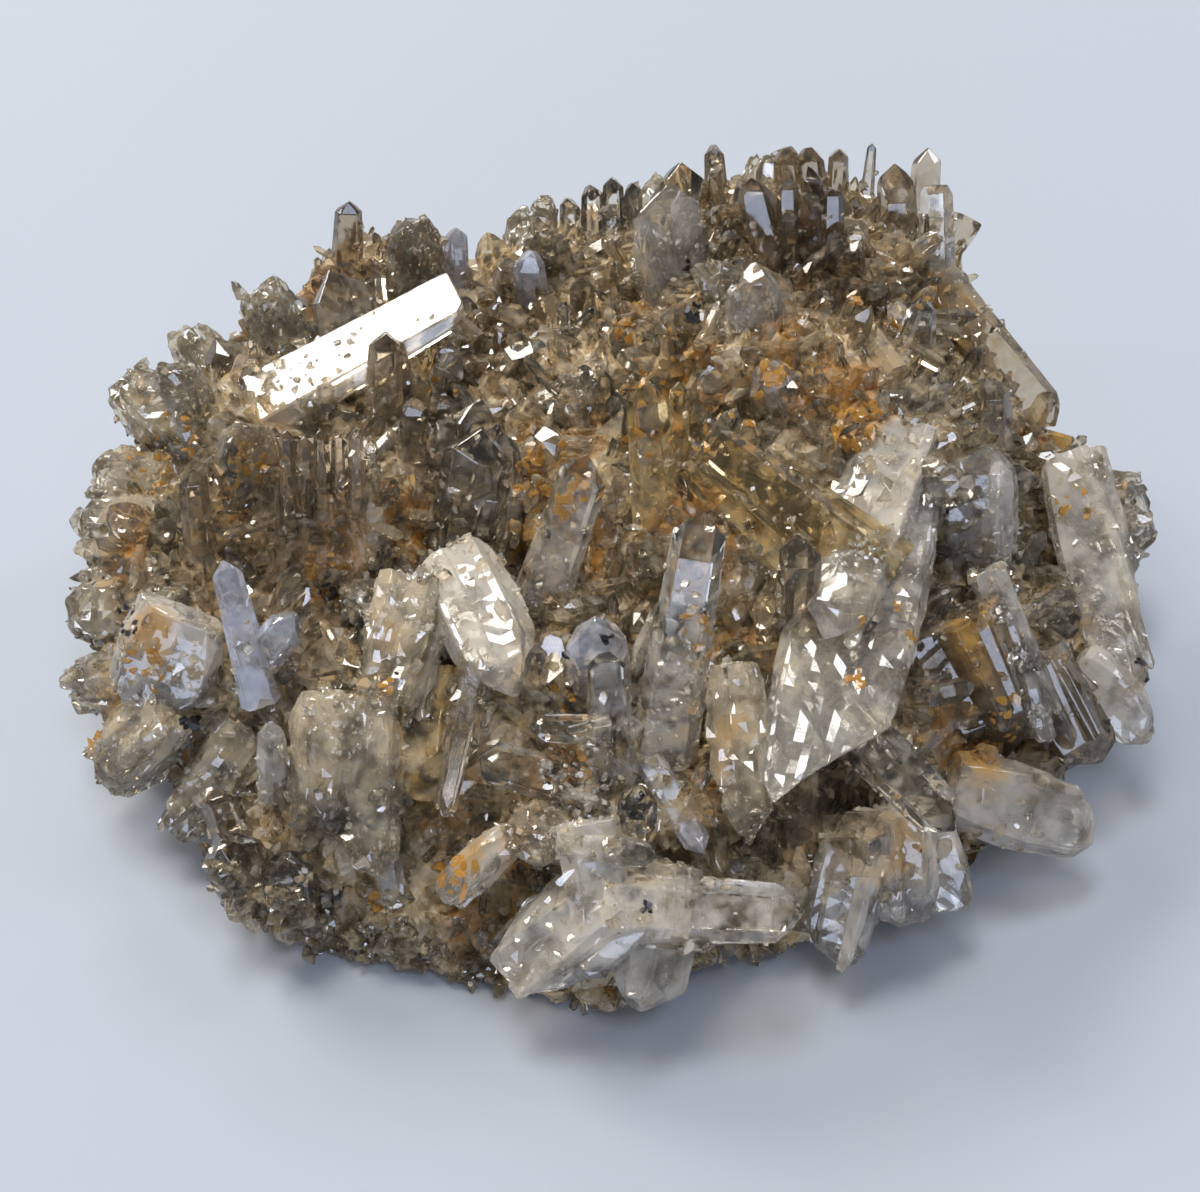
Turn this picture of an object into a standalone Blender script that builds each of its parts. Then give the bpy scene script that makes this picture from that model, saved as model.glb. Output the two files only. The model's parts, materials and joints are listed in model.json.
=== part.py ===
"""Golden healer quartz cluster, about 14 cm across.

A low mound of rock with quartz crystals grown into each other all over it, one solid in all. Every
crystal is cut out of a block by its own faces, as real quartz is bounded: six sides, and six end faces
at 38 degrees to the axis. The larger crystals have a name, a foot, a tip and a width. The small ones
between them are sown over the rock with a fixed seed.

X runs to the right, Y to the back, Z up. Sizes are in millimetres. The cluster rests on the flat
patch under its front left half.
"""

import math
import random
from dataclasses import dataclass
from enum import Enum

import bmesh
import bpy
from mathutils import Matrix, Vector, noise
from mathutils.geometry import delaunay_2d_cdt

MM = 0.001

# The rock: how finely it is faceted, how lumpy it is, and the flat patch that it rests on.
SECTORS = 38
GRAIN = 7.0
GRAIN_SHAKE = 0.28
LATTICE_ROWS = range(-10, 11)
LATTICE_COLUMNS = range(-12, 13)
TOP_SHARE = 0.89  # how far out the points over the top go, as a share of the way to the edge
SPOT_SOFTNESS = 4.0
LUMP_SIZE = 9.0
LUMP_HEIGHT = 2.8
LUMP_STEP = 0.55
LUMP_SWELL = 0.9
SWELL_SIZE = 1.7 * LUMP_SIZE
SIDE_LUMPS = 0.6
SIDE_STEPS = ((0.02, 0.30), (0.14, 0.62), (0.46, 0.90))  # share of the way inwards, and downwards
LEAST_CLEARANCE = 0.8
REST_CENTRE = (-11.0, -14.0)
REST_RADII = (35.0, 29.0)
REST_ANGLE = math.radians(-12.0)
RIM_INSET = 0.95

# The crystals: how deep a foot is rooted, and how much the sides close in over a millimetre of length.
ROOT = 3.0
TAPER = 0.035
END_FACE_ANGLE = math.radians(51.8)
SIDE_JITTER = 0.12
THREE_FACED_UNDER = 7.7
FRONT = Vector((-2.0, -153.5, 190.0))  # a point far in front and above, which the flat sides face

# Where the middle of the cluster's outline falls in the plan coordinates used below.
MIDDLE = Vector((1.3, 4.0, 0.0))

# The small crystals between the named ones.
SOWN = 70
SOWN_WIDTH = (4.0, 7.6)
SOWN_LENGTH = (5.0, 8.0)
SOWN_APART = 5.4
SOWN_TRIES = 6000
SOWN_SHARE = 0.93
SOWN_ROOT = 2.0
SEED = 20

# Where the edge of the rock passes, clockwise seen from above, starting at the back left.
RIM = (
    (-37, 59, 30), (-22, 54, 28), (-1, 57, 33), (18, 58, 38), (36, 58, 36), (49, 51, 31),
    (52, 33, 29), (57, 23, 22), (68, 16, 14), (67, 5, 13), (64, -11, 12), (59, -21, 10),
    (53, -27, 8), (43, -34, 7), (36, -40, 5), (26, -43, 4), (17, -45, 8), (3, -51, 6),
    (-7, -51, 3), (-16, -48, 1), (-33, -44, 1), (-44, -39, 2), (-49, -32, 4), (-57, -22, 7),
    (-66, -11, 10), (-68, 3, 14), (-67, 17, 20), (-64, 25, 24), (-55, 35, 29), (-44, 44, 31),
)

# How high the rock stands inside its edge: the west dome, the valley, the high east half, the slopes.
SPOT_HEIGHTS = (
    (-44, 15, 36), (-34, 8, 35), (-26, 23, 36), (-14, 20, 30), (-17, 41, 29), (-1, 28, 34),
    (12, 33, 41), (17, 19, 46), (30, 32, 44), (29, 14, 42), (34, 5, 38), (47, 21, 31),
    (4, 5, 35), (-5, -10, 25), (13, -4, 38), (26, -20, 31), (31, -26, 25), (45, -12, 25),
    (56, -7, 18), (51, -23, 14), (-2, -35, 21), (9, -34, 23), (-33, -32, 18), (-58, -12, 21),
    (-56, 3, 25), (-46, -10, 24), (-22, -22, 23), (-13, -21, 28), (2, -46, 12), (18, -38, 12),
    (-44, -34, 12), (-25, -38, 11), (26, -34, 12),
)


class End(Enum):
    """How a crystal ends."""

    POINT = "six end faces that meet in a point"
    SLANT = "one end face has grown over the others"
    CHISEL = "an end face at the side has grown over the others"
    BLUNT = "broken off nearly square, with bevelled edges"


@dataclass(frozen=True)
class Crystal:
    """One crystal: where it stands, where it ends, and its cross-section."""

    name: str
    foot: tuple
    tip: tuple
    width: float
    depth: float = 1.0  # thickness as a share of a regular hexagon's
    turn: float = 0.0  # degrees about its own axis, from a side face towards the front
    end: End = End.POINT


POINT, SLANT, CHISEL, BLUNT = End

# How far past the tip an end face cuts the axis, least and most, as a share of the width, how much
# further every second face does, and the faces that have grown over the others, by their number.
END_REACH = {POINT: (0.0, 0.10), SLANT: (0.05, 0.22), CHISEL: (0.0, 0.10), BLUNT: (0.14, 0.30)}
SMALLER_FACE = 0.12
OVERGROWN = {SLANT: {0: -0.30}, CHISEL: {4: -0.55}}

# A broken end: how far it leans, least and most, and how far below the tip it lies.
BREAK_LEAN = (0.08, 0.35)
BREAK_DEPTH = 0.05

WEST_DOME = (
    Crystal("blade", (-41, 16, 36), (-18, 23.5, 45.5), 10, .4, -46, BLUNT),
    Crystal("notch_smoky", (-28, 13.5, 36), (-26.5, 13.5, 48), 4.5, .9),
    Crystal("notch_small", (-25.5, 17, 38), (-25.5, 15.5, 45), 2, 1, 15),
    Crystal("west_glint", (-21.5, 19.5, 34), (-19.5, 18, 42), 3.5, .8, 0, BLUNT),
    Crystal("valley_facet", (-12.5, 25.5, 28), (-11.5, 25, 38), 3, .9),
    Crystal("dark_faced", (-24, 6, 35), (-23, 4.5, 45), 3.5, .9, 0, BLUNT),
    Crystal("glint_pair", (-29, 2.5, 36), (-28, 1, 42), 2),
    Crystal("purple_tower", (-50.5, 1, 24), (-49.5, 2.5, 37), 4, .9),
    Crystal("dome_west", (-50, 15, 32), (-54, 17, 41), 7, .8, 20, BLUNT),
    Crystal("dome_north", (-42, 29, 33), (-43.5, 31.5, 41.5), 7, .8, 10, BLUNT),
    Crystal("dome_crest", (-33, 26, 35), (-34, 29, 45), 8, .7, 30, SLANT),
    Crystal("dome_front", (-43, 6, 32), (-44, 4, 42), 7, .7, 15, BLUNT),
) + tuple(
    Crystal(f"palisade_{i + 1}", (-38.5 + 2 * i, -1, 33), (-37.5 + 2 * i, 1.2, 44.3 - i % 2), 2.3)
    for i in range(5)
)

WEST_EDGE = (
    Crystal("west_lump_a", (-57, 22, 26), (-63.5, 25.5, 31), 8.5, .8, 0, BLUNT),
    Crystal("west_lump_b", (-60, 15, 23), (-67, 17.5, 22), 8, .8, 0, BLUNT),
    Crystal("west_lump_c", (-59, 7, 22), (-68, 10.5, 19), 8.5, .8, 0, BLUNT),
    Crystal("west_lump_d", (-59, -3.5, 19), (-68.5, 0, 15), 8.5, .8, 0, BLUNT),
    Crystal("west_lump_e", (-58, -12, 17), (-67.5, -8, 11), 8.5, .8, 0, BLUNT),
    Crystal("west_lump_f", (-54, -20, 18), (-62, -22.5, 9), 10, .8, 0, BLUNT),
    Crystal("west_shoulder", (-52.5, 30, 28), (-56.5, 33, 33), 7, .8, 0, BLUNT),
    Crystal("pale_lump", (-51, -14, 26), (-55.5, -19, 18), 12, .6, 0, BLUNT),
    Crystal("ice_crystal", (-42, -19, 24), (-44, -13, 38), 4, .7),
    Crystal("cavity_hex", (-42, -16, 24), (-36.5, -17.5, 33), 5, .8),
    Crystal("pale_finger", (-39.5, -29.5, 18), (-38.5, -29, 29), 3.5, .9),
    Crystal("brown_grain", (-45, -22, 15), (-53.5, -28.5, 7), 7, .7, 0, BLUNT),
    Crystal("round_clear", (-44.5, -34, 12), (-45.5, -32.5, 21), 4.5, .9, 0, BLUNT),
    Crystal("grey_west_a", (-43, -37, 9), (-44.5, -37.5, 19), 7, .7),
    Crystal("grey_west_b", (-38, -39, 8), (-37, -40.5, 19), 6, .8),
)

NORTH_EDGE = (
    Crystal("north_spike", (-36, 48.5, 28), (-33.5, 44, 44), 4.2, .6),
    Crystal("brown_block", (-26.5, 42.5, 27), (-25, 45.5, 40.5), 8, .8, 10, BLUNT),
    Crystal("blue_smoky", (-21, 46.5, 26), (-20, 46, 38), 4, .9, 20),
    Crystal("blunt_upright", (-9.5, 47, 29), (-8, 44, 44), 4.5, .9, 0, BLUNT),
    Crystal("dark_valley", (-13.5, 41.5, 27), (-13, 41, 36), 4.5, .9, 0, BLUNT),
    Crystal("lilac_valley", (-10.5, 41.5, 29), (-10, 39, 39), 4.5, .9),
    Crystal("smoky_valley", (-3.5, 34, 32), (-3.5, 33, 40), 3.5, .9),
    Crystal("pale_needle", (-7, 28, 32), (-2, 25.5, 41), 1.6),
    Crystal("glass_group_1", (-5, 48, 31), (-5, 46, 42.5), 3.2),
    Crystal("glass_group_2", (-2, 46.5, 32), (-2, 45.5, 45), 3.4, 1, 20),
    Crystal("glass_group_3", (0.8, 46.5, 32), (0.8, 45.5, 46), 3.3),
    Crystal("glass_group_4", (3.4, 46.5, 32), (3.4, 45.5, 45), 3.2, 1, 10),
    Crystal("north_back_a", (-28, 52, 24), (-29, 56, 31.5), 6.5, .8, 10, BLUNT),
    Crystal("north_back_b", (-12, 51, 24), (-11, 58, 33), 7, .8, 0, SLANT),
    Crystal("north_back_c", (6, 52, 27), (7, 58.5, 37), 7.5, .8, 20),
)

EAST_CREST = (
    Crystal("grey_milky", (8, 33.5, 36), (7.5, 35, 52), 10, .7, 0, SLANT),
    Crystal("dark_lath", (21, 28.5, 41), (17.5, 34, 54), 4.5, .8),
    Crystal("pink_column_1", (22.5, 28.5, 41), (22, 33, 54), 3.2, 1, 0, BLUNT),
    Crystal("pink_column_2", (25.5, 28, 41), (25, 33.5, 54), 3.2, 1, 10, BLUNT),
    Crystal("pink_column_3", (28.3, 29.5, 40), (27.8, 34, 52), 3.2, 1, 0, BLUNT),
    Crystal("sparkling", (18, 17.5, 42), (17, 16.5, 54), 7, .8, 0, BLUNT),
    Crystal("bright_small", (30.5, 30.5, 42), (30, 28.5, 50), 3.5, .9, 0, BLUNT),
    Crystal("crest_a", (15, 52.5, 37), (14, 49, 48), 3.2),
    Crystal("crest_b", (25, 53.5, 38), (23.5, 49.5, 46.5), 3.8, .9, 0, BLUNT),
    Crystal("crest_c", (28, 51.5, 38), (26.5, 48, 47.5), 4, .9, 0, BLUNT),
    Crystal("crest_d", (31.5, 52, 33), (30.5, 50, 46.5), 3.2),
    Crystal("crest_needle", (35.3, 52, 34), (34.5, 48, 48.5), 1.8),
    Crystal("crest_e", (43, 49, 28), (43, 53.5, 44), 4.5, .9),
    Crystal("crest_left", (9, 46, 36), (10, 47, 47), 6, .8, 20, SLANT),
    Crystal("crest_back", (22, 53, 33), (23, 58.5, 40), 8, .8, 10, BLUNT),
    Crystal("east_hex", (43, 48, 33), (50, 47, 36), 6, .9),
    Crystal("clear_column", (43.5, 37, 32), (42.5, 43, 46), 5, .9, 0, BLUNT),
    Crystal("column_left", (38, 38, 36), (37, 43, 49), 5.5, .9, 0, SLANT),
    Crystal("twin_glass_1", (36, 19, 34), (34, 17, 48), 3.2),
    Crystal("twin_glass_2", (39.3, 20, 33), (37.6, 18, 47), 3.2),
    Crystal("east_edge_long", (44, 34, 34), (57, 19.5, 25), 7, .7),
    Crystal("east_clear", (47.5, 11.5, 28), (46, 13.5, 38), 5, .9, 0, BLUNT),
    Crystal("east_brown", (54, 11.5, 21), (54.5, 13, 28), 4.5, .9, 0, BLUNT),
)

CENTRE = (
    Crystal("dome_point", (-18, -2.5, 29), (-15, -1.5, 46), 8.5, .7),
    Crystal("dome_point_back", (-13, 1, 28), (-13, 3.5, 41), 4.5, .8),
    Crystal("lying_smoky", (-11, 8, 32), (-2.5, 6.5, 35), 4.5, .8),
    Crystal("glass_leaning", (-10, -10.5, 24), (-3, -5, 45), 6.5, .8),
    Crystal("gold_column", (5, -4, 32), (3.5, 1, 51), 5.5, .9),
    Crystal("gold_column_small", (7.5, 2.5, 38), (7.5, 2.5, 49), 2.6),
    Crystal("lying_gold", (28, -14.5, 37), (10, -3.5, 46), 7.5, .7, 0, BLUNT),
    Crystal("lying_gold_low", (18, -11, 36), (9, -3.5, 42), 5, .8, 0, BLUNT),
    Crystal("glass_column", (5, -28.5, 25), (9, -18, 49), 6.5, .8, 0, SLANT),
    Crystal("glass_column_side", (2.5, -21, 26), (6.5, -20, 38), 4.5, .8),
    Crystal("shell_facet", (20, -18.5, 33), (19.5, -18.5, 45), 5, .7, 0, SLANT),
    Crystal("blue_facet", (-2, -20.5, 22), (-2.5, -24.5, 38), 7, .8, 0, SLANT),
    Crystal("tooth", (-23.5, -15.5, 33), (-26, -27, 27), 8.5, .6, 0, SLANT),
    Crystal("viewer_point", (-18, -12, 33), (-11.5, -26.5, 30), 10, .7),
    Crystal("cross_rod", (-23, -22, 23), (-17, -21.5, 25), 2.6, 1, 0, BLUNT),
    Crystal("slab_glass", (-1, -32, 24), (-1.5, -27, 37), 5, .6, 0, BLUNT),
    Crystal("little_glass", (-4, -31, 29), (-10, -30.5, 29), 3.2, .9),
)

EAST_SLOPE = (
    Crystal("milky_blade", (31.5, -3, 36), (17.5, -45, 28), 14, .38, 0, CHISEL),
    Crystal("milky_neck", (32.5, 2, 39), (22.5, -25.5, 37), 9, .6, 0, SLANT),
    Crystal("east_block", (43.5, -2.5, 24), (42.5, 2.5, 38), 10.5, .7, 0, BLUNT),
    Crystal("east_milky", (57, 8, 27), (61, -17.5, 15), 8.5, .6, 0, BLUNT),
    Crystal("east_rim_mass", (58, 7, 20), (69.5, 13, 15), 12.5, .6, 0, BLUNT),
    Crystal("smoky_slope", (38.5, -18, 27), (45.5, -27, 14), 13, .5, 0, SLANT),
    Crystal("greenish_slope", (40, -31, 15.5), (55, -31.5, 8), 10, .6, 0, BLUNT),
    Crystal("sparkle_ridge", (43, -13.5, 30), (49.5, -25, 17), 4.5, .8, 0, BLUNT),
    Crystal("east_low_a", (50, -18, 20), (57.5, -25, 11), 8.5, .6, 0, SLANT),
    Crystal("east_low_b", (57, -15, 16), (63.5, -20.5, 11), 7, .7, 0, BLUNT),
    Crystal("glass_front_right", (27, -31, 26), (35.5, -41.5, 24), 6.2, .9),
    Crystal("smoky_hexagon", (28, -33.5, 9), (26, -43.5, 24.5), 8.8, .95, 8),
    Crystal("south_east_a", (26, -40, 15), (23.5, -46, 5), 8, .8, 0, BLUNT),
    Crystal("south_east_b", (30.5, -38, 18), (32, -44.5, 7), 8.5, .8, 0, SLANT),
    Crystal("south_east_c", (34.5, -35, 14), (38, -41.5, 7), 6.5, .8, 0, BLUNT),
    Crystal("step_smoky_a", (20.5, -31, 17), (20, -38.5, 12), 6, .8, 0, BLUNT),
    Crystal("step_smoky_b", (21.5, -35, 13), (20, -43, 6), 5, .8, 0, BLUNT),
)

FRONT_SLOPE = (
    Crystal("pale_spike", (12.5, -28.5, 32), (13.5, -42, 23), 6.8, .55),
    Crystal("lying_glass", (0.5, -47, 19), (19, -48, 18), 7.5, .9),
    Crystal("front_milky", (4, -44, 17), (1.5, -55, 8), 8.5, .7, 0, SLANT),
    Crystal("front_block", (-2, -46, 18), (-13.5, -49, 8), 10.5, .8, 0, BLUNT),
    Crystal("small_clear", (-4, -43.5, 25), (3.5, -45.5, 26), 3.2),
    Crystal("sparkle_bent", (-3, -43, 24), (-1.5, -50, 17), 6.5, .7, 0, SLANT),
    Crystal("black_cap", (1, -41, 20), (1.5, -41, 31), 4.5, .9, 0, BLUNT),
    Crystal("lilac_spike", (4.5, -33, 22), (8.5, -42.5, 22), 3.2, .8),
    Crystal("rounded_block", (-31, -25, 24), (-31.5, -38.5, 12), 14, .7, 0, SLANT),
    Crystal("clear_block", (-4, -34, 22), (-15.5, -34.5, 29), 5, .8, 0, SLANT),
    Crystal("smoky_rod", (-16.5, -25, 30), (-19.5, -38, 23), 3.2, .9),
    Crystal("amber_plate", (-21.5, -23, 26), (-22.5, -35, 21), 7, .4, 0, SLANT),
    Crystal("front_finger", (-26.5, -40, 5), (-26.5, -38.5, 17), 3.8, .9),
    Crystal("pale_end", (-14.5, -40, 19), (-20.5, -42.5, 14), 5, .8, 0, BLUNT),
    Crystal("front_druse", (-8, -38, 20), (-10, -43, 25), 8, .8, 20, BLUNT),
)

CRYSTALS = WEST_DOME + WEST_EDGE + NORTH_EDGE + EAST_CREST + CENTRE + EAST_SLOPE + FRONT_SLOPE


def clear_scene():
    """Remove the objects that the scene opens with."""
    for obj in list(bpy.data.objects):
        bpy.data.objects.remove(obj)


def quartz_material():
    """Smoky honey-coloured quartz, see-through in thin pieces."""
    material = bpy.data.materials.new("golden_quartz")
    material.use_nodes = True
    shader = material.node_tree.nodes["Principled BSDF"]
    shader.inputs["Base Color"].default_value = (0.60, 0.46, 0.28, 1.0)
    shader.inputs["Roughness"].default_value = 0.2
    shader.inputs["Metallic"].default_value = 0.0
    shader.inputs["IOR"].default_value = 1.544
    shader.inputs["Transmission Weight"].default_value = 0.35
    return material


def rim_at(angle):
    """The edge of the rock in that direction, between the two nearest points of RIM."""
    turns = sorted((math.atan2(y, x) % math.tau, x, y, z) for x, y, z in RIM)
    turns = [(turns[-1][0] - math.tau, *turns[-1][1:])] + turns + [(turns[0][0] + math.tau, *turns[0][1:])]
    for (a0, *p0), (a1, *p1) in zip(turns, turns[1:]):
        if a0 <= angle <= a1:
            return Vector(p0).lerp(Vector(p1), (angle - a0) / (a1 - a0))
    raise ValueError(f"no edge at {angle}")


def rock_height(x, y):
    """Height of the rock's top there, shared out among the spot heights and the edge by nearness."""
    total, weights = 0.0, 0.0
    for px, py, pz in SPOT_HEIGHTS + RIM:
        weight = ((x - px) ** 2 + (y - py) ** 2 + SPOT_SOFTNESS) ** -2
        total += weight * pz
        weights += weight
    return total / weights


def rest_at(angle):
    """The edge of the flat patch underneath, in that direction from its centre."""
    a = angle - REST_ANGLE
    x, y = REST_RADII[0] * math.cos(a), REST_RADII[1] * math.sin(a)
    c, s = math.cos(REST_ANGLE), math.sin(REST_ANGLE)
    return Vector((REST_CENTRE[0] + c * x - s * y, REST_CENTRE[1] + s * x + c * y, 0.0))


def lump(point):
    """How far the rock stands proud or back there: blocks with flat tops and sudden steps."""
    cell = noise.cell_vector(point / LUMP_SIZE)
    swell = noise.noise(point / SWELL_SIZE)
    return LUMP_HEIGHT * (LUMP_STEP * (cell.x - 0.5) * 2.0 + LUMP_SWELL * swell)


def edge_ring():
    """The points along the edge of the rock, a little inside RIM so that the crystals reach past it."""
    ring = []
    for i in range(SECTORS):
        edge = rim_at(math.tau * i / SECTORS)
        ring.append(Vector((RIM_INSET * edge.x, RIM_INSET * edge.y, edge.z)))
    return ring


def top_points():
    """Points over the top of the rock, on a shaken triangular lattice."""
    rng = random.Random(SEED)
    for row in LATTICE_ROWS:
        for column in LATTICE_COLUMNS:
            x = GRAIN * (column + 0.5 * (row % 2) + rng.uniform(-GRAIN_SHAKE, GRAIN_SHAKE))
            y = GRAIN * (0.866 * row + rng.uniform(-GRAIN_SHAKE, GRAIN_SHAKE))
            if inside_edge(x, y, TOP_SHARE):
                point = Vector((x, y, rock_height(x, y)))
                yield point + Vector((0, 0, lump(point)))


def side_rings(edge):
    """The rings from the edge of the rock, down its undercut side, to the flat patch that it rests on."""
    for inward, down in SIDE_STEPS:
        ring = []
        for i, start in enumerate(edge):
            foot = rest_at(math.tau * i / SECTORS)
            point = start.lerp(foot, inward)
            point.z = max(LEAST_CLEARANCE, start.z * (1.0 - down))
            outward = Vector((start.x, start.y, 0)).normalized()
            ring.append(point + outward * SIDE_LUMPS * lump(point * 1.3))
        yield ring
    yield [rest_at(math.tau * i / SECTORS) for i in range(SECTORS)]


def rock_mesh():
    """The rock under the crystals: a lumpy top, an undercut side, and the flat patch it rests on."""
    edge = edge_ring()
    points = edge + list(top_points())
    made = delaunay_2d_cdt([p.xy for p in points], [], [list(range(SECTORS))], 1, 1e-4)
    origin = made[3]
    mesh = bmesh.new()
    verts = [mesh.verts.new(points[ids[0]]) for ids in origin]
    for face in made[2]:
        mesh.faces.new([verts[i] for i in face])
    upper = sorted((ids[0], vert) for ids, vert in zip(origin, verts) if ids[0] < SECTORS)
    upper = [vert for _, vert in upper]
    for ring in side_rings(edge):
        lower = [mesh.verts.new(p) for p in ring]
        for i in range(SECTORS):
            j = (i + 1) % SECTORS
            mesh.faces.new((upper[i], lower[i], lower[j], upper[j]))
        upper = lower
    mesh.faces.new(upper)
    bmesh.ops.triangulate(mesh, faces=[f for f in mesh.faces if len(f.verts) == 4])
    bmesh.ops.recalc_face_normals(mesh, faces=mesh.faces[:])
    return mesh


def cut(block, point, normal):
    """Cut the block with a plane, throw away what lies beyond it, and close the cut."""
    parts = block.verts[:] + block.edges[:] + block.faces[:]
    made = bmesh.ops.bisect_plane(
        block, geom=parts, dist=1e-5, plane_co=point, plane_no=normal, clear_outer=True
    )
    edges = [e for e in made["geom_cut"] if isinstance(e, bmesh.types.BMEdge)]
    if edges:
        bmesh.ops.contextual_create(block, geom=edges)


def end_planes(end, length, width, rng):
    """The planes that end a crystal, each as a point and a normal in the crystal's own frame."""
    overgrown = OVERGROWN.get(end, {})
    for k in range(0, 6, 2 if width < THREE_FACED_UNDER else 1):
        angle = math.radians(90 + 60 * k)
        share = rng.uniform(*END_REACH[end]) + (SMALLER_FACE if k % 2 else 0.0)
        share = overgrown.get(k, share)
        normal = Vector((
            math.cos(angle) * math.sin(END_FACE_ANGLE),
            math.sin(angle) * math.sin(END_FACE_ANGLE),
            math.cos(END_FACE_ANGLE),
        ))
        yield Vector((0, 0, length + share * width)), normal
    if end is BLUNT:
        lean, side = rng.uniform(*BREAK_LEAN), rng.uniform(0, math.tau)
        normal = Vector((lean * math.cos(side), lean * math.sin(side), 1))
        yield Vector((0, 0, length - BREAK_DEPTH * width)), normal


def crystal_mesh(crystal):
    """A crystal as a closed mesh in its own frame, standing on the origin with its axis up."""
    rng = random.Random(crystal.name)
    foot, tip = Vector(crystal.foot), Vector(crystal.tip)
    length = (tip - foot).length + ROOT
    block = bmesh.new()
    bmesh.ops.create_cube(block, size=1.0)
    bmesh.ops.scale(block, vec=(4 * crystal.width, 4 * crystal.width, 2 * length), verts=block.verts)
    bmesh.ops.translate(block, vec=(0, 0, length), verts=block.verts)
    regular = 0.5 * crystal.width * math.cos(math.radians(30))
    for k in range(6):
        angle = math.radians(90 + 60 * k)
        flat = crystal.depth if k in (0, 3) else 1.0
        away = regular * flat * rng.uniform(1 - SIDE_JITTER, 1 + SIDE_JITTER)
        normal = Vector((math.cos(angle), math.sin(angle), TAPER))
        cut(block, normal * away + Vector((0, 0, 0.5 * length)), normal)
    for point, normal in end_planes(crystal.end, length, crystal.width, rng):
        cut(block, point, normal)
    bmesh.ops.remove_doubles(block, verts=block.verts[:], dist=0.02)
    bmesh.ops.recalc_face_normals(block, faces=block.faces[:])
    return block


def placed(crystal):
    """The matrix that stands a crystal's mesh in its place, in millimetres."""
    foot, tip = Vector(crystal.foot), Vector(crystal.tip)
    axis = (tip - foot).normalized()
    towards = FRONT - (foot + tip) / 2
    towards -= axis * towards.dot(axis)
    if towards.length < 20.0:
        towards = Vector((0, 0, 1)) - axis * axis.z
    front = towards.normalized()
    side = front.cross(axis)
    turned = Matrix((side, front, axis)).transposed().to_4x4()
    spin = Matrix.Rotation(math.radians(crystal.turn), 4, "Z")
    return Matrix.Translation(foot - axis * ROOT) @ turned @ spin


def rock_normal(x, y):
    """Which way the rock's top faces there."""
    step = 1.5
    slope_x = (rock_height(x + step, y) - rock_height(x - step, y)) / (2 * step)
    slope_y = (rock_height(x, y + step) - rock_height(x, y - step)) / (2 * step)
    return Vector((-slope_x, -slope_y, 1)).normalized()


def inside_edge(x, y, share):
    """Whether a point of the plan lies inside that share of the way to the edge."""
    edge = rim_at(math.atan2(y, x) % math.tau)
    return math.hypot(x, y) < share * math.hypot(edge.x, edge.y)


def sown_crystals():
    """Small crystals over the rock, where no named crystal stands yet."""
    rng = random.Random(SEED)
    taken = [Vector(c.foot).lerp(Vector(c.tip), t).xy for c in CRYSTALS for t in (0.3, 0.8)]
    found = []
    for _ in range(SOWN_TRIES):
        x, y = rng.uniform(-70, 70), rng.uniform(-56, 62)
        if len(found) == SOWN:
            break
        crowded = any((Vector((x, y)) - t).length < SOWN_APART for t in taken)
        if crowded or not inside_edge(x, y, SOWN_SHARE):
            continue
        taken.append(Vector((x, y)))
        foot = Vector((x, y, rock_height(x, y) - SOWN_ROOT))
        lean = Vector((rng.gauss(0, 0.35), rng.gauss(0, 0.35), rng.uniform(0, 0.3)))
        axis = (rock_normal(x, y) + lean).normalized()
        tip = foot + axis * rng.uniform(*SOWN_LENGTH)
        width = rng.uniform(*SOWN_WIDTH)
        end = rng.choice((POINT, POINT, SLANT, BLUNT))
        turn = rng.uniform(0, 60)
        found.append(Crystal(f"sown_{len(found) + 1:02d}", tuple(foot), tuple(tip), width, 0.9, turn, end))
    return found


def object_from(mesh, name, material):
    """A Blender object from a bmesh in millimetres."""
    bmesh.ops.translate(mesh, vec=-MIDDLE, verts=mesh.verts)
    bmesh.ops.scale(mesh, vec=(MM, MM, MM), verts=mesh.verts)
    data = bpy.data.meshes.new(name)
    mesh.to_mesh(data)
    mesh.free()
    data.materials.append(material)
    return bpy.data.objects.new(name, data)


def islands(mesh):
    """The faces of a bmesh in connected groups."""
    left = set(mesh.faces)
    while left:
        group, edge_of_group = set(), [left.pop()]
        while edge_of_group:
            face = edge_of_group.pop()
            group.add(face)
            near = {other for edge in face.edges for other in edge.link_faces} & left
            left -= near
            edge_of_group.extend(near)
        yield group


def keep_outer_skin(obj):
    """Take up the union, and fill the small gaps that the crystals close off between them."""
    skin = bmesh.new()
    skin.from_object(obj, bpy.context.evaluated_depsgraph_get())
    groups = sorted(islands(skin), key=len)
    for group in groups[:-1]:
        bmesh.ops.delete(skin, geom=list(group), context="FACES")
    obj.modifiers.clear()
    skin.to_mesh(obj.data)
    skin.free()


def build():
    """Grow the crystals into the rock, as one solid."""
    material = quartz_material()
    grown = bpy.data.collections.new("crystals")
    bpy.context.scene.collection.children.link(grown)
    for crystal in list(CRYSTALS) + sown_crystals():
        mesh = crystal_mesh(crystal)
        bmesh.ops.transform(mesh, matrix=placed(crystal), verts=mesh.verts)
        grown.objects.link(object_from(mesh, crystal.name, material))
    cluster = object_from(rock_mesh(), "quartz_cluster", material)
    bpy.context.scene.collection.objects.link(cluster)
    union = cluster.modifiers.new("grown_together", "BOOLEAN")
    union.operation = "UNION"
    union.solver = "EXACT"
    union.operand_type = "COLLECTION"
    union.collection = grown
    keep_outer_skin(cluster)
    for obj in list(grown.objects):
        bpy.data.objects.remove(obj)
    bpy.data.collections.remove(grown)


def main():
    """Clear the scene and build the cluster in it."""
    clear_scene()
    build()


main()
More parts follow.
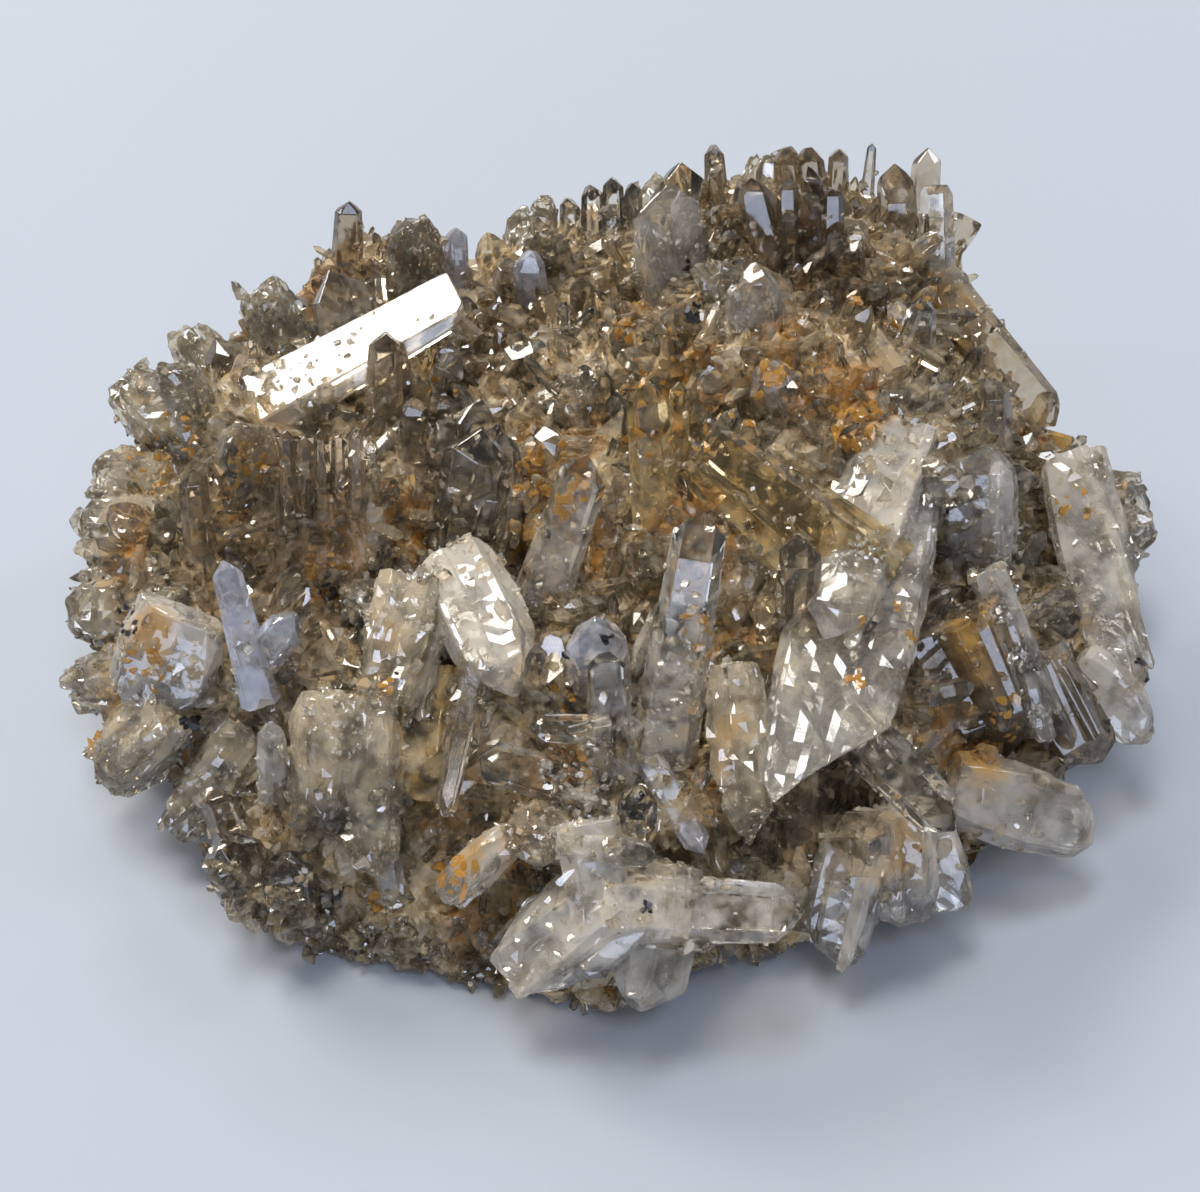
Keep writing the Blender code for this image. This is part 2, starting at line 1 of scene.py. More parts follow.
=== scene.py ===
"""Looks of the golden healer quartz cluster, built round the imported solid.

The same rock and the same named crystals are made again with fine edges, stain and veils, and the
ground between them is overgrown with small crystals, as on the real thing. Sizes are in millimetres
and places are in plan coordinates: X to the right, Y to the back, Z up from the surface that the
cluster rests on. to_frame takes them to metres in the part's frame.
"""

import json
import logging
import math
import random
from collections.abc import Iterator
from dataclasses import dataclass, field, replace
from enum import Enum

import bmesh
import bpy
from mathutils import Matrix, Vector, noise
from mathutils.geometry import delaunay_2d_cdt

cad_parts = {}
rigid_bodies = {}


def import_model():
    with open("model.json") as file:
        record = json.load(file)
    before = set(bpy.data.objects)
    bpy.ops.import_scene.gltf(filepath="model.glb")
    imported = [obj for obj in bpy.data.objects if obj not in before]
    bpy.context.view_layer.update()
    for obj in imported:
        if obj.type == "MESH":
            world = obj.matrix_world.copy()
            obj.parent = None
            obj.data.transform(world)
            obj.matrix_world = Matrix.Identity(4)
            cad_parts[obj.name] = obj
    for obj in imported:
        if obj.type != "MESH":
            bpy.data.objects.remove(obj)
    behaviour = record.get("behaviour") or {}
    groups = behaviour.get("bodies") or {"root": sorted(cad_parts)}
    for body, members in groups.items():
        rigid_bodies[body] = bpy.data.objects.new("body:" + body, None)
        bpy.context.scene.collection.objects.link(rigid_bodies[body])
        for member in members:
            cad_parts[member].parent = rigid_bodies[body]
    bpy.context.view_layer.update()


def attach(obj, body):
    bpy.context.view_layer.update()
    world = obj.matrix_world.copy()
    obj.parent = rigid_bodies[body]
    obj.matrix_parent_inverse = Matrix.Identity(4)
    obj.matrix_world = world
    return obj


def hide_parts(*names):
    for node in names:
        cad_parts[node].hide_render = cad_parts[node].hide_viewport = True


LOG = logging.getLogger("quartz_cluster")
NODE = "quartz_cluster"
BODY = "root"

MM = 0.001
MIDDLE = Vector((1.3, 4.0, 0.0))  # the middle of the cluster's outline, in plan coordinates
MIX_A, MIX_B = 6, 7  # the colour sockets of a Mix node

# What the meshes carry for the finishes to read: how far along its crystal a point lies, the same in
# millimetres, a chance value for each crystal, iron stain, smokiness, where small crystals grow, and
# where there is room for larger ones.
MASKS = ("rise", "growth", "tone", "stain", "smoke", "grow", "room")


def to_frame(point: Vector) -> Vector:
    """Plan coordinates in millimetres, as metres in the part's frame."""
    return (point - MIDDLE) * MM


def linear(code: str) -> tuple[float, float, float, float]:
    """Turn an sRGB hex colour into the linear values that shaders take.

    Args:
        code: The colour as "#rrggbb".

    Returns:
        Red, green, blue and an alpha of 1.
    """
    shares = [int(code[i:i + 2], 16) / 255 for i in (1, 3, 5)]
    return (*(c / 12.92 if c <= 0.04045 else ((c + 0.055) / 1.055) ** 2.4 for c in shares), 1.0)


def per_mm(size: float) -> float:
    """The scale that gives a noise pattern features of that size in millimetres."""
    return 1.0 / (size * MM)


def smooth(value: float, start: float, end: float) -> float:
    """Go softly from 0 at start to 1 at end."""
    share = min(1.0, max(0.0, (value - start) / (end - start)))
    return share * share * (3 - 2 * share)


class Graph:
    """A node tree, and the one way in which nodes are added to it."""

    def __init__(self, tree: bpy.types.NodeTree) -> None:
        self.tree = tree

    def add(self, kind: str, inputs: dict | None = None, **settings) -> bpy.types.Node:
        """Add a node with its settings, values and links.

        Args:
            kind: The node's type name.
            inputs: Socket name or index to a value, an output socket, or a node whose first
                enabled output is linked.
            **settings: Properties of the node, set before its inputs.

        Returns:
            The new node.
        """
        made = self.tree.nodes.new(kind)
        for name, value in settings.items():
            setattr(made, name, value)
        for key, value in (inputs or {}).items():
            if isinstance(value, bpy.types.Node):
                value = next(out for out in value.outputs if out.enabled)
            if isinstance(value, bpy.types.NodeSocket):
                self.tree.links.new(value, made.inputs[key])
            elif isinstance(value, str) and value.startswith("#"):
                made.inputs[key].default_value = linear(value)
            else:
                made.inputs[key].default_value = value
        return made

    def masks(self, *names: str) -> list[bpy.types.NodeSocket]:
        """The values that a piece's mesh carries under those names."""
        return [self.add("ShaderNodeAttribute", attribute_name=n).outputs["Fac"] for n in names]


def new_material(name: str) -> tuple[bpy.types.Material, Graph]:
    """A material with an empty node tree, and the graph to fill it with."""
    made = bpy.data.materials.new(name)
    made.use_nodes = True
    made.node_tree.nodes.clear()
    return made, Graph(made.node_tree)


@dataclass(frozen=True)
class Quartz:
    """Quartz as it grows: glassy faces, veils of tiny bubbles inside, iron stain near the foot.

    The eye gets a hard, wet gloss from the faces, a view through the clear parts, soft pale clouds
    where the veils are, and a glitter of tiny faces where the surface is sugary. Growth lines run
    across the faces.
    """

    name: str
    glass: str  # what light takes on as it goes through
    veil: str  # the cloudy quartz of the veils
    smoke: str  # the smoky quartz that it shades into
    clarity: float  # share of the light that goes through between the veils
    cloudy: float  # how much of the crystal the veils take up, from 0 to 1
    sugary: float  # how much of the surface glitters, from 0 to 1
    veil_size: float = 3.0
    sugar_size: float = 0.6
    rough: float = 0.03
    lines: float = 0.03  # how far the growth lines lean
    rust: str = "#c39a4f"
    shade: str = "#d3c9b8"  # what a lamp's light keeps on its way through one face
    haze: float = 0.5  # how much of the light a full veil holds back
    hackle: float = 0.0  # height of the small steps and facets that its faces are broken up into, in mm
    swell: tuple = (0.0, 0.0)  # how much thinner its ends are than its middle, least and most
    bare: tuple = (0.05, 0.55)  # from where to where along a crystal its crust thins out
    IOR = 1.544

    def material(self) -> bpy.types.Material:
        """The finish as a node material."""
        made, graph = new_material(self.name)
        add = graph.add
        place = add("ShaderNodeTexCoord").outputs["Object"]
        rise, tone, stain, smoke = graph.masks("rise", "tone", "stain", "smoke")
        clouds = add("ShaderNodeTexNoise", {
            "Vector": place, "Scale": per_mm(self.veil_size), "Detail": 2.0, "Roughness": 0.6,
        })
        lifted = add("ShaderNodeMath", {0: tone, 1: 0.22, 2: clouds.outputs[0]}, operation="MULTIPLY_ADD")
        sunk = add("ShaderNodeMath", {0: rise, 1: -0.24, 2: lifted}, operation="MULTIPLY_ADD")
        edge = 0.76 - 0.5 * self.cloudy
        veil = add("ShaderNodeMapRange", {
            "Value": sunk, "From Min": edge - 0.24, "From Max": edge + 0.24,
        }, interpolation_type="SMOOTHSTEP")
        near_foot = add("ShaderNodeMapRange", {"Value": rise, "From Min": 0.95, "From Max": 0.05})
        rusty = add("ShaderNodeMath", {0: stain, 1: near_foot}, operation="MULTIPLY")
        rusty = add("ShaderNodeMath", {0: rusty, 1: 0.9, 2: clouds.outputs[0]}, operation="MULTIPLY_ADD")
        rusty = add("ShaderNodeMapRange", {
            "Value": rusty, "From Min": 0.62, "From Max": 1.3, "To Max": 0.85,
        }, interpolation_type="SMOOTHSTEP")
        smoky = add("ShaderNodeMath", {0: smoke, 1: tone}, operation="MULTIPLY")
        colour = add("ShaderNodeMix", {0: veil, MIX_A: self.glass, MIX_B: self.veil}, data_type="RGBA")
        colour = add("ShaderNodeMix", {0: smoky, MIX_A: colour, MIX_B: self.smoke}, data_type="RGBA")
        colour = add("ShaderNodeMix", {0: rusty, MIX_A: colour, MIX_B: self.rust}, data_type="RGBA")
        clear = add("ShaderNodeMath", {0: veil, 1: -self.haze * self.clarity, 2: self.clarity}, operation="MULTIPLY_ADD")
        clear = add("ShaderNodeMath", {0: rusty, 1: -0.12, 2: clear}, operation="MULTIPLY_ADD", use_clamp=True)
        rough = add("ShaderNodeMapRange", {
            "Value": clouds.outputs[0], "From Min": 0.35, "From Max": 0.7,
            "To Min": self.rough, "To Max": self.rough + 0.08,
        })
        shader = add("ShaderNodeBsdfPrincipled", {
            "Base Color": colour, "Roughness": rough, "IOR": self.IOR, "Transmission Weight": clear,
        })
        if self.sugary:
            made.node_tree.links.new(self.relief(graph, place, sunk).outputs[0], shader.inputs["Normal"])
        path = add("ShaderNodeLightPath").outputs["Is Shadow Ray"]
        lamp = add("ShaderNodeBsdfTransparent", {"Color": self.shade})
        surface = add("ShaderNodeMixShader", {0: path, 1: shader.outputs[0], 2: lamp.outputs[0]})
        add("ShaderNodeOutputMaterial", {"Surface": surface})
        return made

    def relief(self, graph: Graph, place: bpy.types.NodeSocket, sunk: bpy.types.Node) -> bpy.types.Node:
        """Growth lines across the faces, and patches of tiny faces that each lean their own way.

        Args:
            graph: The material's graph.
            place: Object coordinates.
            sunk: How likely a veil is there; the sugary patches lie where the veils do.

        Returns:
            The node whose first output is the normal.
        """
        add = graph.add
        growth = graph.masks("growth")[0]
        grains = add("ShaderNodeTexVoronoi", {"Vector": place, "Scale": per_mm(self.sugar_size)})
        across = add("ShaderNodeMath", {0: growth, 1: 2.6}, operation="MULTIPLY")
        lines = add("ShaderNodeTexNoise", {"W": across, "Scale": 1.0, "Detail": 1.0}, noise_dimensions="1D")
        edge = 0.80 - 0.55 * self.sugary
        patch = add("ShaderNodeMapRange", {
            "Value": sunk, "From Min": edge - 0.05, "From Max": edge + 0.12, "To Min": 0.03, "To Max": 0.7,
        }, interpolation_type="SMOOTHSTEP")
        total = add("ShaderNodeNewGeometry").outputs["Normal"]
        for pattern, amount in ((lines.outputs["Color"], self.lines), (grains.outputs["Color"], patch)):
            lean = add("ShaderNodeVectorMath", {0: pattern, 1: (0.5, 0.5, 0.5)}, operation="SUBTRACT")
            lean = add("ShaderNodeVectorMath", {0: lean, "Scale": amount}, operation="SCALE")
            total = add("ShaderNodeVectorMath", {0: total, 1: lean}, operation="ADD")
        return add("ShaderNodeVectorMath", {0: total}, operation="NORMALIZE")


class Finish(Enum):
    """The finishes that the crystals have; the small ones of the druse have no veils of their own."""

    CLEAR = Quartz("rock_crystal", "#f8f3e9", "#d3cabb", "#b3a590", 0.99, 0.22, 0.0, shade="#e6dfd2")
    SMOKY = Quartz("smoky_quartz", "#e0d3be", "#ab9a80", "#806b56", 0.97, 0.22, 0.0)
    HONEY = Quartz("honey_quartz", "#f3e2ba", "#c8ad78", "#a5875a", 0.98, 0.20, 0.0, shade="#e2d4b2")
    MILKY = Quartz(
        "milky_quartz", "#f3efe6", "#cdc6b9", "#a89e91", 0.93, 0.40, 0.0, 4.0, rough=0.06, bare=(0.1, 0.9),
        hackle=0.11, swell=(0.10, 0.35),
    )
    PALE = Quartz(
        "cloudy_beige_quartz", "#ebe1cc", "#b9ab8e", "#978770", 0.94, 0.36, 0.0, 3.5, rough=0.04, bare=(0.5, 1.6),
        hackle=0.30, swell=(0.15, 0.40),
    )
    # The pale blue-white glass and veil colours of this finish are partly a lilac tint and partly a painted cool sheen
    # of bluish sky light.
    LILAC = Quartz("lilac_quartz", "#f0f3fb", "#dce3f4", "#a09cad", 0.90, 0.42, 0.0, rough=0.015)
    DRUSE = Quartz("golden_druse", "#ecdfc4", "#b8a583", "#917b5d", 0.96, 0.30, 0.0, 1.8)
    FROST = Quartz("frosted_druse", "#f3f0e8", "#d2cbbf", "#a99f92", 0.90, 0.38, 0.0, 1.2, rough=0.03)
    CLEAR_SHARD = Quartz("clear_shard", "#f3ede0", "#c3b9a4", "#a1927d", 0.98, 0.22, 0.0, 2.0)
    SMOKY_SHARD = Quartz("smoky_shard", "#d7c9b2", "#998667", "#705d49", 0.97, 0.28, 0.0, 2.0)
    IRON_STAIN = Quartz(
        "iron_stain", "#d2a458", "#ab7e36", "#7d5d2e", 0.72, 0.40, 0.0, 1.2, rough=0.12, rust="#a8742a",
    )


CLEAR, SMOKY, HONEY, MILKY, PALE, LILAC, DRUSE, FROST, CLEAR_SHARD, SMOKY_SHARD, IRON_STAIN = Finish


class End(Enum):
    """How a crystal ends."""

    POINT = "six end faces that meet in a point"
    SLANT = "one end face has grown over the others"
    CHISEL = "an end face at the side has grown over the others"
    BLUNT = "broken off nearly square, with bevelled edges"


POINT, SLANT, CHISEL, BLUNT = End

# How far past the tip an end face cuts the axis, least and most, as a share of the width, how much
# further every second face does, and the faces that have grown over the others, by their number.
END_REACH = {POINT: (0.0, 0.10), SLANT: (0.05, 0.22), CHISEL: (0.0, 0.10), BLUNT: (0.14, 0.30)}
SMALLER_FACE = 0.12
OVERGROWN = {SLANT: {0: -0.30}, CHISEL: {4: -0.55}}

# A broken end: how far it leans, least and most, and how far below the tip it lies.
BREAK_LEAN = (0.08, 0.35)
BREAK_DEPTH = 0.05


@dataclass(frozen=True)
class Patch:
    """A round area of the plan where a mask is strong, fading towards its edge."""

    x: float
    y: float
    radius: float
    strength: float = 1.0

    def at(self, x: float, y: float) -> float:
        """The mask's strength there."""
        return self.strength * smooth(math.hypot(x - self.x, y - self.y), 1.35 * self.radius, 0.3 * self.radius)


# Where iron has stained the quartz amber, and where the quartz is smoky.
STAINS = (
    Patch(-44, 7, 5), Patch(-7, 9, 7), Patch(-7, -3, 7), Patch(2, 30, 4, .8), Patch(20, 15, 4, .8), Patch(29, 7, 5),
    Patch(30, 23, 3, .8), Patch(8, 12, 6, .8), Patch(22, 10, 6, .8), Patch(41, -22, 7, .9), Patch(40, -27, 6, .8),
    Patch(-63, -18, 5), Patch(-54, -16, 4, .8), Patch(-18, -41, 4, .7), Patch(-7, -31, 5, .8), Patch(10, -34, 4, .7),
    Patch(-24, -1, 4, .9), Patch(-11, -40, 4, .7), Patch(54, 18, 5, .8), Patch(-26, -23, 4, .8), Patch(-60, 2, 5, .8),
    Patch(-37, 42, 6, .7), Patch(-34, -4, 6, .6), Patch(31, -42, 4, .8), Patch(64, 14, 5, .8), Patch(41, 33, 4, .8),
    Patch(9, -8, 7), Patch(-50, 25, 6, .6), Patch(-20, -30, 6, .7), Patch(12, -20, 6, .8),
)
SMOKE = (
    Patch(25, 32, 16), Patch(-30, 40, 12, .8), Patch(-15, 30, 10, .8), Patch(40, -22, 14, .8), Patch(-40, -5, 12, .7),
    Patch(-20, 8, 9, .8), Patch(-62, -5, 10, .6), Patch(55, 5, 10, .6), Patch(10, -40, 8, .6), Patch(-38, -38, 9, .6),
)


def mask_at(patches: tuple[Patch, ...], x: float, y: float) -> float:
    """The strength of the strongest patch there."""
    return max(patch.at(x, y) for patch in patches)


@dataclass(frozen=True)
class Rock:
    """The massive quartz under the crystals: a lumpy top, an undercut side, a flat patch to rest on.

    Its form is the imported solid's rock, broken up more finely.
    """

    sectors: int = 300
    grain: float = 1.15
    lump_size: float = 9.0
    lump_height: float = 2.8
    side_lumps: float = 0.6
    side_steps: tuple = ((0.02, 0.30), (0.14, 0.62), (0.46, 0.90))
    side_rows: int = 24
    rest_centre: tuple = (-11.0, -14.0)
    rest_radii: tuple = (35.0, 29.0)
    rest_angle: float = math.radians(-12.0)
    rim_inset: float = 0.95
    clear_of_floor: float = 0.8
    room_ends: tuple = (0.80, 0.93)  # where the larger crystals thin out, as a share of the way to the rim
    # Broken facets: the size and the height of each, from coarse to fine.
    facets: tuple = ((4.2, 0.9), (2.0, 0.55), (1.1, 0.3))
    # Where the edge of the rock passes, clockwise seen from above, starting at the back left.
    rim: tuple = (
        (-37, 59, 30), (-22, 54, 28), (-1, 57, 33), (18, 58, 38), (36, 58, 36), (49, 51, 31),
        (52, 33, 29), (57, 23, 22), (68, 16, 14), (67, 5, 13), (64, -11, 12), (59, -21, 10),
        (53, -27, 8), (43, -34, 7), (36, -40, 5), (26, -43, 4), (17, -45, 8), (3, -51, 6),
        (-7, -51, 3), (-16, -48, 1), (-33, -44, 1), (-44, -39, 2), (-49, -32, 4), (-57, -22, 7),
        (-66, -11, 10), (-68, 3, 14), (-67, 17, 20), (-64, 25, 24), (-55, 35, 29), (-44, 44, 31),
    )
    # How high the rock stands inside its edge: the west dome, the valley, the high east half, the slopes.
    spots: tuple = (
        (-44, 15, 36), (-34, 8, 35), (-26, 23, 36), (-14, 20, 30), (-17, 41, 29), (-1, 28, 34),
        (12, 33, 41), (17, 19, 46), (30, 32, 44), (29, 14, 42), (34, 5, 38), (47, 21, 31),
        (4, 5, 35), (-5, -10, 25), (13, -4, 38), (26, -20, 31), (31, -26, 25), (45, -12, 25),
        (56, -7, 18), (51, -23, 14), (-2, -35, 21), (9, -34, 23), (-33, -32, 18), (-58, -12, 21),
        (-56, 3, 25), (-46, -10, 24), (-22, -22, 23), (-13, -21, 28), (2, -46, 12), (18, -38, 12),
        (-44, -34, 12), (-25, -38, 11), (26, -34, 12),
    )

    def rim_at(self, angle: float) -> Vector:
        """The edge of the rock in that direction, between the two nearest points of the rim."""
        turns = sorted((math.atan2(y, x) % math.tau, x, y, z) for x, y, z in self.rim)
        before, after = turns[-1], turns[0]
        turns = [(before[0] - math.tau, *before[1:])] + turns + [(after[0] + math.tau, *after[1:])]
        for (a0, *p0), (a1, *p1) in zip(turns, turns[1:]):
            if a0 <= angle <= a1:
                return Vector(p0).lerp(Vector(p1), (angle - a0) / (a1 - a0))
        raise ValueError(f"no edge at {angle}")

    def height(self, x: float, y: float) -> float:
        """Height of the rock's top there, shared out among the spot heights and the rim by nearness."""
        total, weights = 0.0, 0.0
        for px, py, pz in self.spots + self.rim:
            weight = ((x - px) ** 2 + (y - py) ** 2 + 4.0) ** -2
            total += weight * pz
            weights += weight
        return total / weights

    def rest_at(self, angle: float) -> Vector:
        """The edge of the flat patch underneath, in that direction from its centre."""
        a = angle - self.rest_angle
        x, y = self.rest_radii[0] * math.cos(a), self.rest_radii[1] * math.sin(a)
        c, s = math.cos(self.rest_angle), math.sin(self.rest_angle)
        return Vector((self.rest_centre[0] + c * x - s * y, self.rest_centre[1] + s * x + c * y, 0.0))

    def lump(self, point: Vector) -> float:
        """How far the rock stands proud or back there: blocks with flat tops and sudden steps."""
        cell = noise.cell_vector(point / self.lump_size)
        swell = noise.noise(point / (1.7 * self.lump_size))
        return self.lump_height * (0.55 * (cell.x - 0.5) * 2.0 + 0.9 * swell)

    def facet(self, point: Vector) -> float:
        """The fine break of the rock there: leaning facets of several sizes."""
        total = 0.0
        for size, height in self.facets:
            cell = noise.voronoi(point / size)[1][0]
            chance = noise.cell_vector(cell * 17.3)
            lean = (point / size - cell).dot(chance - Vector((0.5, 0.5, 0.5)))
            total += height * (2.0 * chance.z - 1.0 + 1.6 * lean)
        return total

    def edge(self) -> list[Vector]:
        """The points along the edge of the rock."""
        ring = []
        for i in range(self.sectors):
            edge = self.rim_at(math.tau * i / self.sectors)
            ring.append(Vector((self.rim_inset * edge.x, self.rim_inset * edge.y, edge.z)))
        return ring

    def top(self) -> Iterator[Vector]:
        """Points over the top of the rock, on a shaken triangular lattice."""
        rng = random.Random(1)
        reach = round(75 / self.grain)
        for row in range(-reach, reach + 1):
            for column in range(-reach, reach + 1):
                x = self.grain * (column + 0.5 * (row % 2) + rng.uniform(-0.25, 0.25))
                y = self.grain * (0.866 * row + rng.uniform(-0.25, 0.25))
                if abs(x) > 70 or abs(y) > 60:
                    continue
                rim = self.rim_at(math.atan2(y, x) % math.tau)
                if math.hypot(x, y) < 0.935 * rim.xy.length:
                    point = Vector((x, y, self.height(x, y)))
                    yield point + Vector((0, 0, self.lump(point) + self.facet(point)))

    def side(self, edge: list[Vector]) -> Iterator[list[Vector]]:
        """The rings from the edge down the undercut side to the flat patch.

        Args:
            edge: The points along the edge of the rock.

        Yields:
            One ring of points after the other, downwards.
        """
        steps = ((0.0, 0.0),) + self.side_steps + ((1.0, 1.0),)
        for row in range(1, self.side_rows):
            along = (len(steps) - 1) * row / self.side_rows
            k = min(int(along), len(steps) - 2)
            inward, down = (a + (b - a) * (along - k) for a, b in zip(steps[k], steps[k + 1]))
            ring = []
            for i, start in enumerate(edge):
                point = start.lerp(self.rest_at(math.tau * i / self.sectors), inward)
                point.z = max(0.0, start.z * (1.0 - down))
                outward = Vector((start.x, start.y, 0)).normalized()
                fade = min(1.0, 6.0 * (1.0 - row / self.side_rows))
                proud = self.side_lumps * self.lump(point * 1.3) + 0.8 * self.facet(point)
                point += outward * proud * fade
                point.z = max(point.z, self.clear_of_floor * fade)
                ring.append(point)
            yield ring
        yield [self.rest_at(math.tau * i / self.sectors) for i in range(self.sectors)]

    def mesh(self) -> bmesh.types.BMesh:
        """The rock as one closed mesh with its masks, in plan coordinates."""
        edge = self.edge()
        points = edge + list(self.top())
        made = delaunay_2d_cdt([p.xy for p in points], [], [list(range(self.sectors))], 1, 1e-4)
        origin = made[3]
        mesh = bmesh.new()
        verts = [mesh.verts.new(points[ids[0]]) for ids in origin]
        for face in made[2]:
            mesh.faces.new([verts[i] for i in face])
        upper = sorted((ids[0], i) for i, ids in enumerate(origin) if ids[0] < self.sectors)
        upper = [verts[i] for _, i in upper]
        for ring in self.side(edge):
            lower = [mesh.verts.new(p) for p in ring]
            for i in range(self.sectors):
                j = (i + 1) % self.sectors
                mesh.faces.new((upper[i], lower[i], lower[j], upper[j]))
            upper = lower
        mesh.faces.new(upper)
        bmesh.ops.triangulate(mesh, faces=mesh.faces[:])
        bmesh.ops.recalc_face_normals(mesh, faces=mesh.faces[:])
        mesh.normal_update()
        self.paint(mesh)
        return mesh

    def paint(self, mesh: bmesh.types.BMesh) -> None:
        """Write the masks: stain, smoke, and where small crystals grow, which is not underneath."""
        layers = {name: mesh.verts.layers.float.new(name) for name in MASKS}
        for vert in mesh.verts:
            x, y, z = vert.co
            vert[layers["stain"]] = mask_at(STAINS, x, y)
            vert[layers["smoke"]] = mask_at(SMOKE, x, y)
            vert[layers["tone"]] = 0.5 + 0.5 * noise.noise(vert.co / 3.0)
            vert[layers["grow"]] = smooth(vert.normal.z, -0.85, -0.5) * smooth(z, 0.02, 0.4)
            outwards = math.hypot(x, y) / self.rim_at(math.atan2(y, x) % math.tau).xy.length
            inland = 1.0 - smooth(outwards, *self.room_ends)
            vert[layers["room"]] = inland * smooth(vert.normal.z, 0.1, 0.5)

    def dress(self) -> bpy.types.Material:
        """Massive quartz: sugary, half see-through broken quartz, beige to amber where iron got in."""
        made, graph = new_material("massive_quartz")
        add = graph.add
        place = add("ShaderNodeTexCoord").outputs["Object"]
        stain, smoke, tone = graph.masks("stain", "smoke", "tone")
        broad = add("ShaderNodeTexNoise", {
            "Vector": place, "Scale": per_mm(5.0), "Detail": 4.0, "Roughness": 0.62, "Distortion": 0.5,
        })
        sugar = add("ShaderNodeTexVoronoi", {"Vector": place, "Scale": per_mm(0.7)})
        pale = add("ShaderNodeMix", {0: broad.outputs[0], MIX_A: "#7d6f58", MIX_B: "#b6a88c"}, data_type="RGBA")
        smoky = add("ShaderNodeMath", {0: smoke, 1: 0.65}, operation="MULTIPLY")
        pale = add("ShaderNodeMix", {0: smoky, MIX_A: pale, MIX_B: "#5f5140"}, data_type="RGBA")
        rusty = add("ShaderNodeMath", {0: stain, 1: 0.7, 2: broad.outputs[0]}, operation="MULTIPLY_ADD")
        rusty = add("ShaderNodeMapRange", {
            "Value": rusty, "From Min": 0.55, "From Max": 1.1,
        }, interpolation_type="SMOOTHSTEP")
        colour = add("ShaderNodeMix", {0: rusty, MIX_A: pale, MIX_B: "#936a30"}, data_type="RGBA")
        rough = add("ShaderNodeMapRange", {"Value": tone, "To Min": 0.22, "To Max": 0.5})
        bump = add("ShaderNodeBump", {"Height": sugar.outputs[0], "Strength": 0.5, "Distance": 0.25 * MM})
        shader = add("ShaderNodeBsdfPrincipled", {
            "Base Color": colour, "Roughness": rough, "IOR": 1.544, "Normal": bump,
        })
        add("ShaderNodeOutputMaterial", {"Surface": shader})
        return made


@dataclass(frozen=True)
class Crystal:
    """One crystal: its finish, where it stands, where it ends, and its cross-section."""

    name: str
    finish: Finish
    foot: tuple
    tip: tuple
    width: float
    depth: float = 1.0  # thickness as a share of a regular hexagon's
    turn: float = 0.0  # degrees about its own axis, from a side face towards the front
    end: End = End.POINT
    clean: bool = False  # without companions and almost without crust


WEST_DOME = (
    Crystal("blade", CLEAR, (-41, 16, 36), (-18, 23.5, 45.5), 10, .4, -46, BLUNT, clean=True),
    Crystal("notch_smoky", SMOKY, (-28, 13.5, 36), (-26.5, 13.5, 48), 4.5, .9, clean=True),
    Crystal("notch_small", SMOKY, (-25.5, 17, 38), (-25.5, 15.5, 45), 2, 1, 15),
    Crystal("west_glint", CLEAR, (-21.5, 19.5, 34), (-19.5, 18, 42), 3.5, .8, 0, BLUNT),
    Crystal("valley_facet", CLEAR, (-12.5, 25.5, 28), (-11.5, 25, 38), 3, .9),
    Crystal("dark_faced", SMOKY, (-24, 6, 35), (-23, 4.5, 45), 3.5, .9, 0, BLUNT),
    Crystal("glint_pair", CLEAR, (-29, 2.5, 36), (-28, 1, 42), 2),
    Crystal("purple_tower", SMOKY, (-50.5, 1, 24), (-49.5, 2.5, 37), 4, .9),
    Crystal("dome_west", PALE, (-50, 15, 32), (-54, 17, 41), 7, .8, 20, BLUNT),
    Crystal("dome_north", PALE, (-42, 29, 33), (-43.5, 31.5, 41.5), 7, .8, 10, BLUNT),
    Crystal("dome_crest", SMOKY, (-33, 26, 35), (-34, 29, 45), 8, .7, 30, SLANT),
    Crystal("dome_front", PALE, (-43, 6, 32), (-44, 4, 42), 7, .7, 15, BLUNT),
) + tuple(
    Crystal(f"palisade_{i + 1}", SMOKY, (-38.5 + 2 * i, -1, 33), (-37.5 + 2 * i, 1.2, 44.3 - i % 2), 2.3)
    for i in range(5)
)

WEST_EDGE = (
    Crystal("west_lump_a", PALE, (-57, 22, 26), (-63.5, 25.5, 31), 8.5, .8, 0, BLUNT),
    Crystal("west_lump_b", PALE, (-60, 15, 23), (-67, 17.5, 22), 8, .8, 0, BLUNT),
    Crystal("west_lump_c", PALE, (-59, 7, 22), (-68, 10.5, 19), 8.5, .8, 0, BLUNT),
    Crystal("west_lump_d", PALE, (-59, -3.5, 19), (-68.5, 0, 15), 8.5, .8, 0, BLUNT),
    Crystal("west_lump_e", PALE, (-58, -12, 17), (-67.5, -8, 11), 8.5, .8, 0, BLUNT),
    Crystal("west_lump_f", PALE, (-54, -20, 18), (-62, -22.5, 9), 10, .8, 0, BLUNT),
    Crystal("west_shoulder", PALE, (-52.5, 30, 28), (-56.5, 33, 33), 7, .8, 0, BLUNT),
    Crystal("pale_lump", MILKY, (-51, -14, 26), (-55.5, -19, 18), 12, .6, 0, BLUNT),
    Crystal("ice_crystal", LILAC, (-42, -19, 24), (-44, -13, 38), 4, .7, clean=True),
    Crystal("cavity_hex", LILAC, (-42, -16, 24), (-36.5, -17.5, 33), 5, .8, clean=True),
    Crystal("pale_finger", MILKY, (-39.5, -29.5, 18), (-38.5, -29, 29), 3.5, .9),
    Crystal("brown_grain", PALE, (-45, -22, 15), (-53.5, -28.5, 7), 7, .7, 0, BLUNT),
    Crystal("round_clear", SMOKY, (-44.5, -34, 12), (-45.5, -32.5, 21), 4.5, .9, 0, BLUNT),
    Crystal("grey_west_a", CLEAR, (-43, -37, 9), (-44.5, -37.5, 19), 7, .7),
    Crystal("grey_west_b", CLEAR, (-38, -39, 8), (-37, -40.5, 19), 6, .8),
)

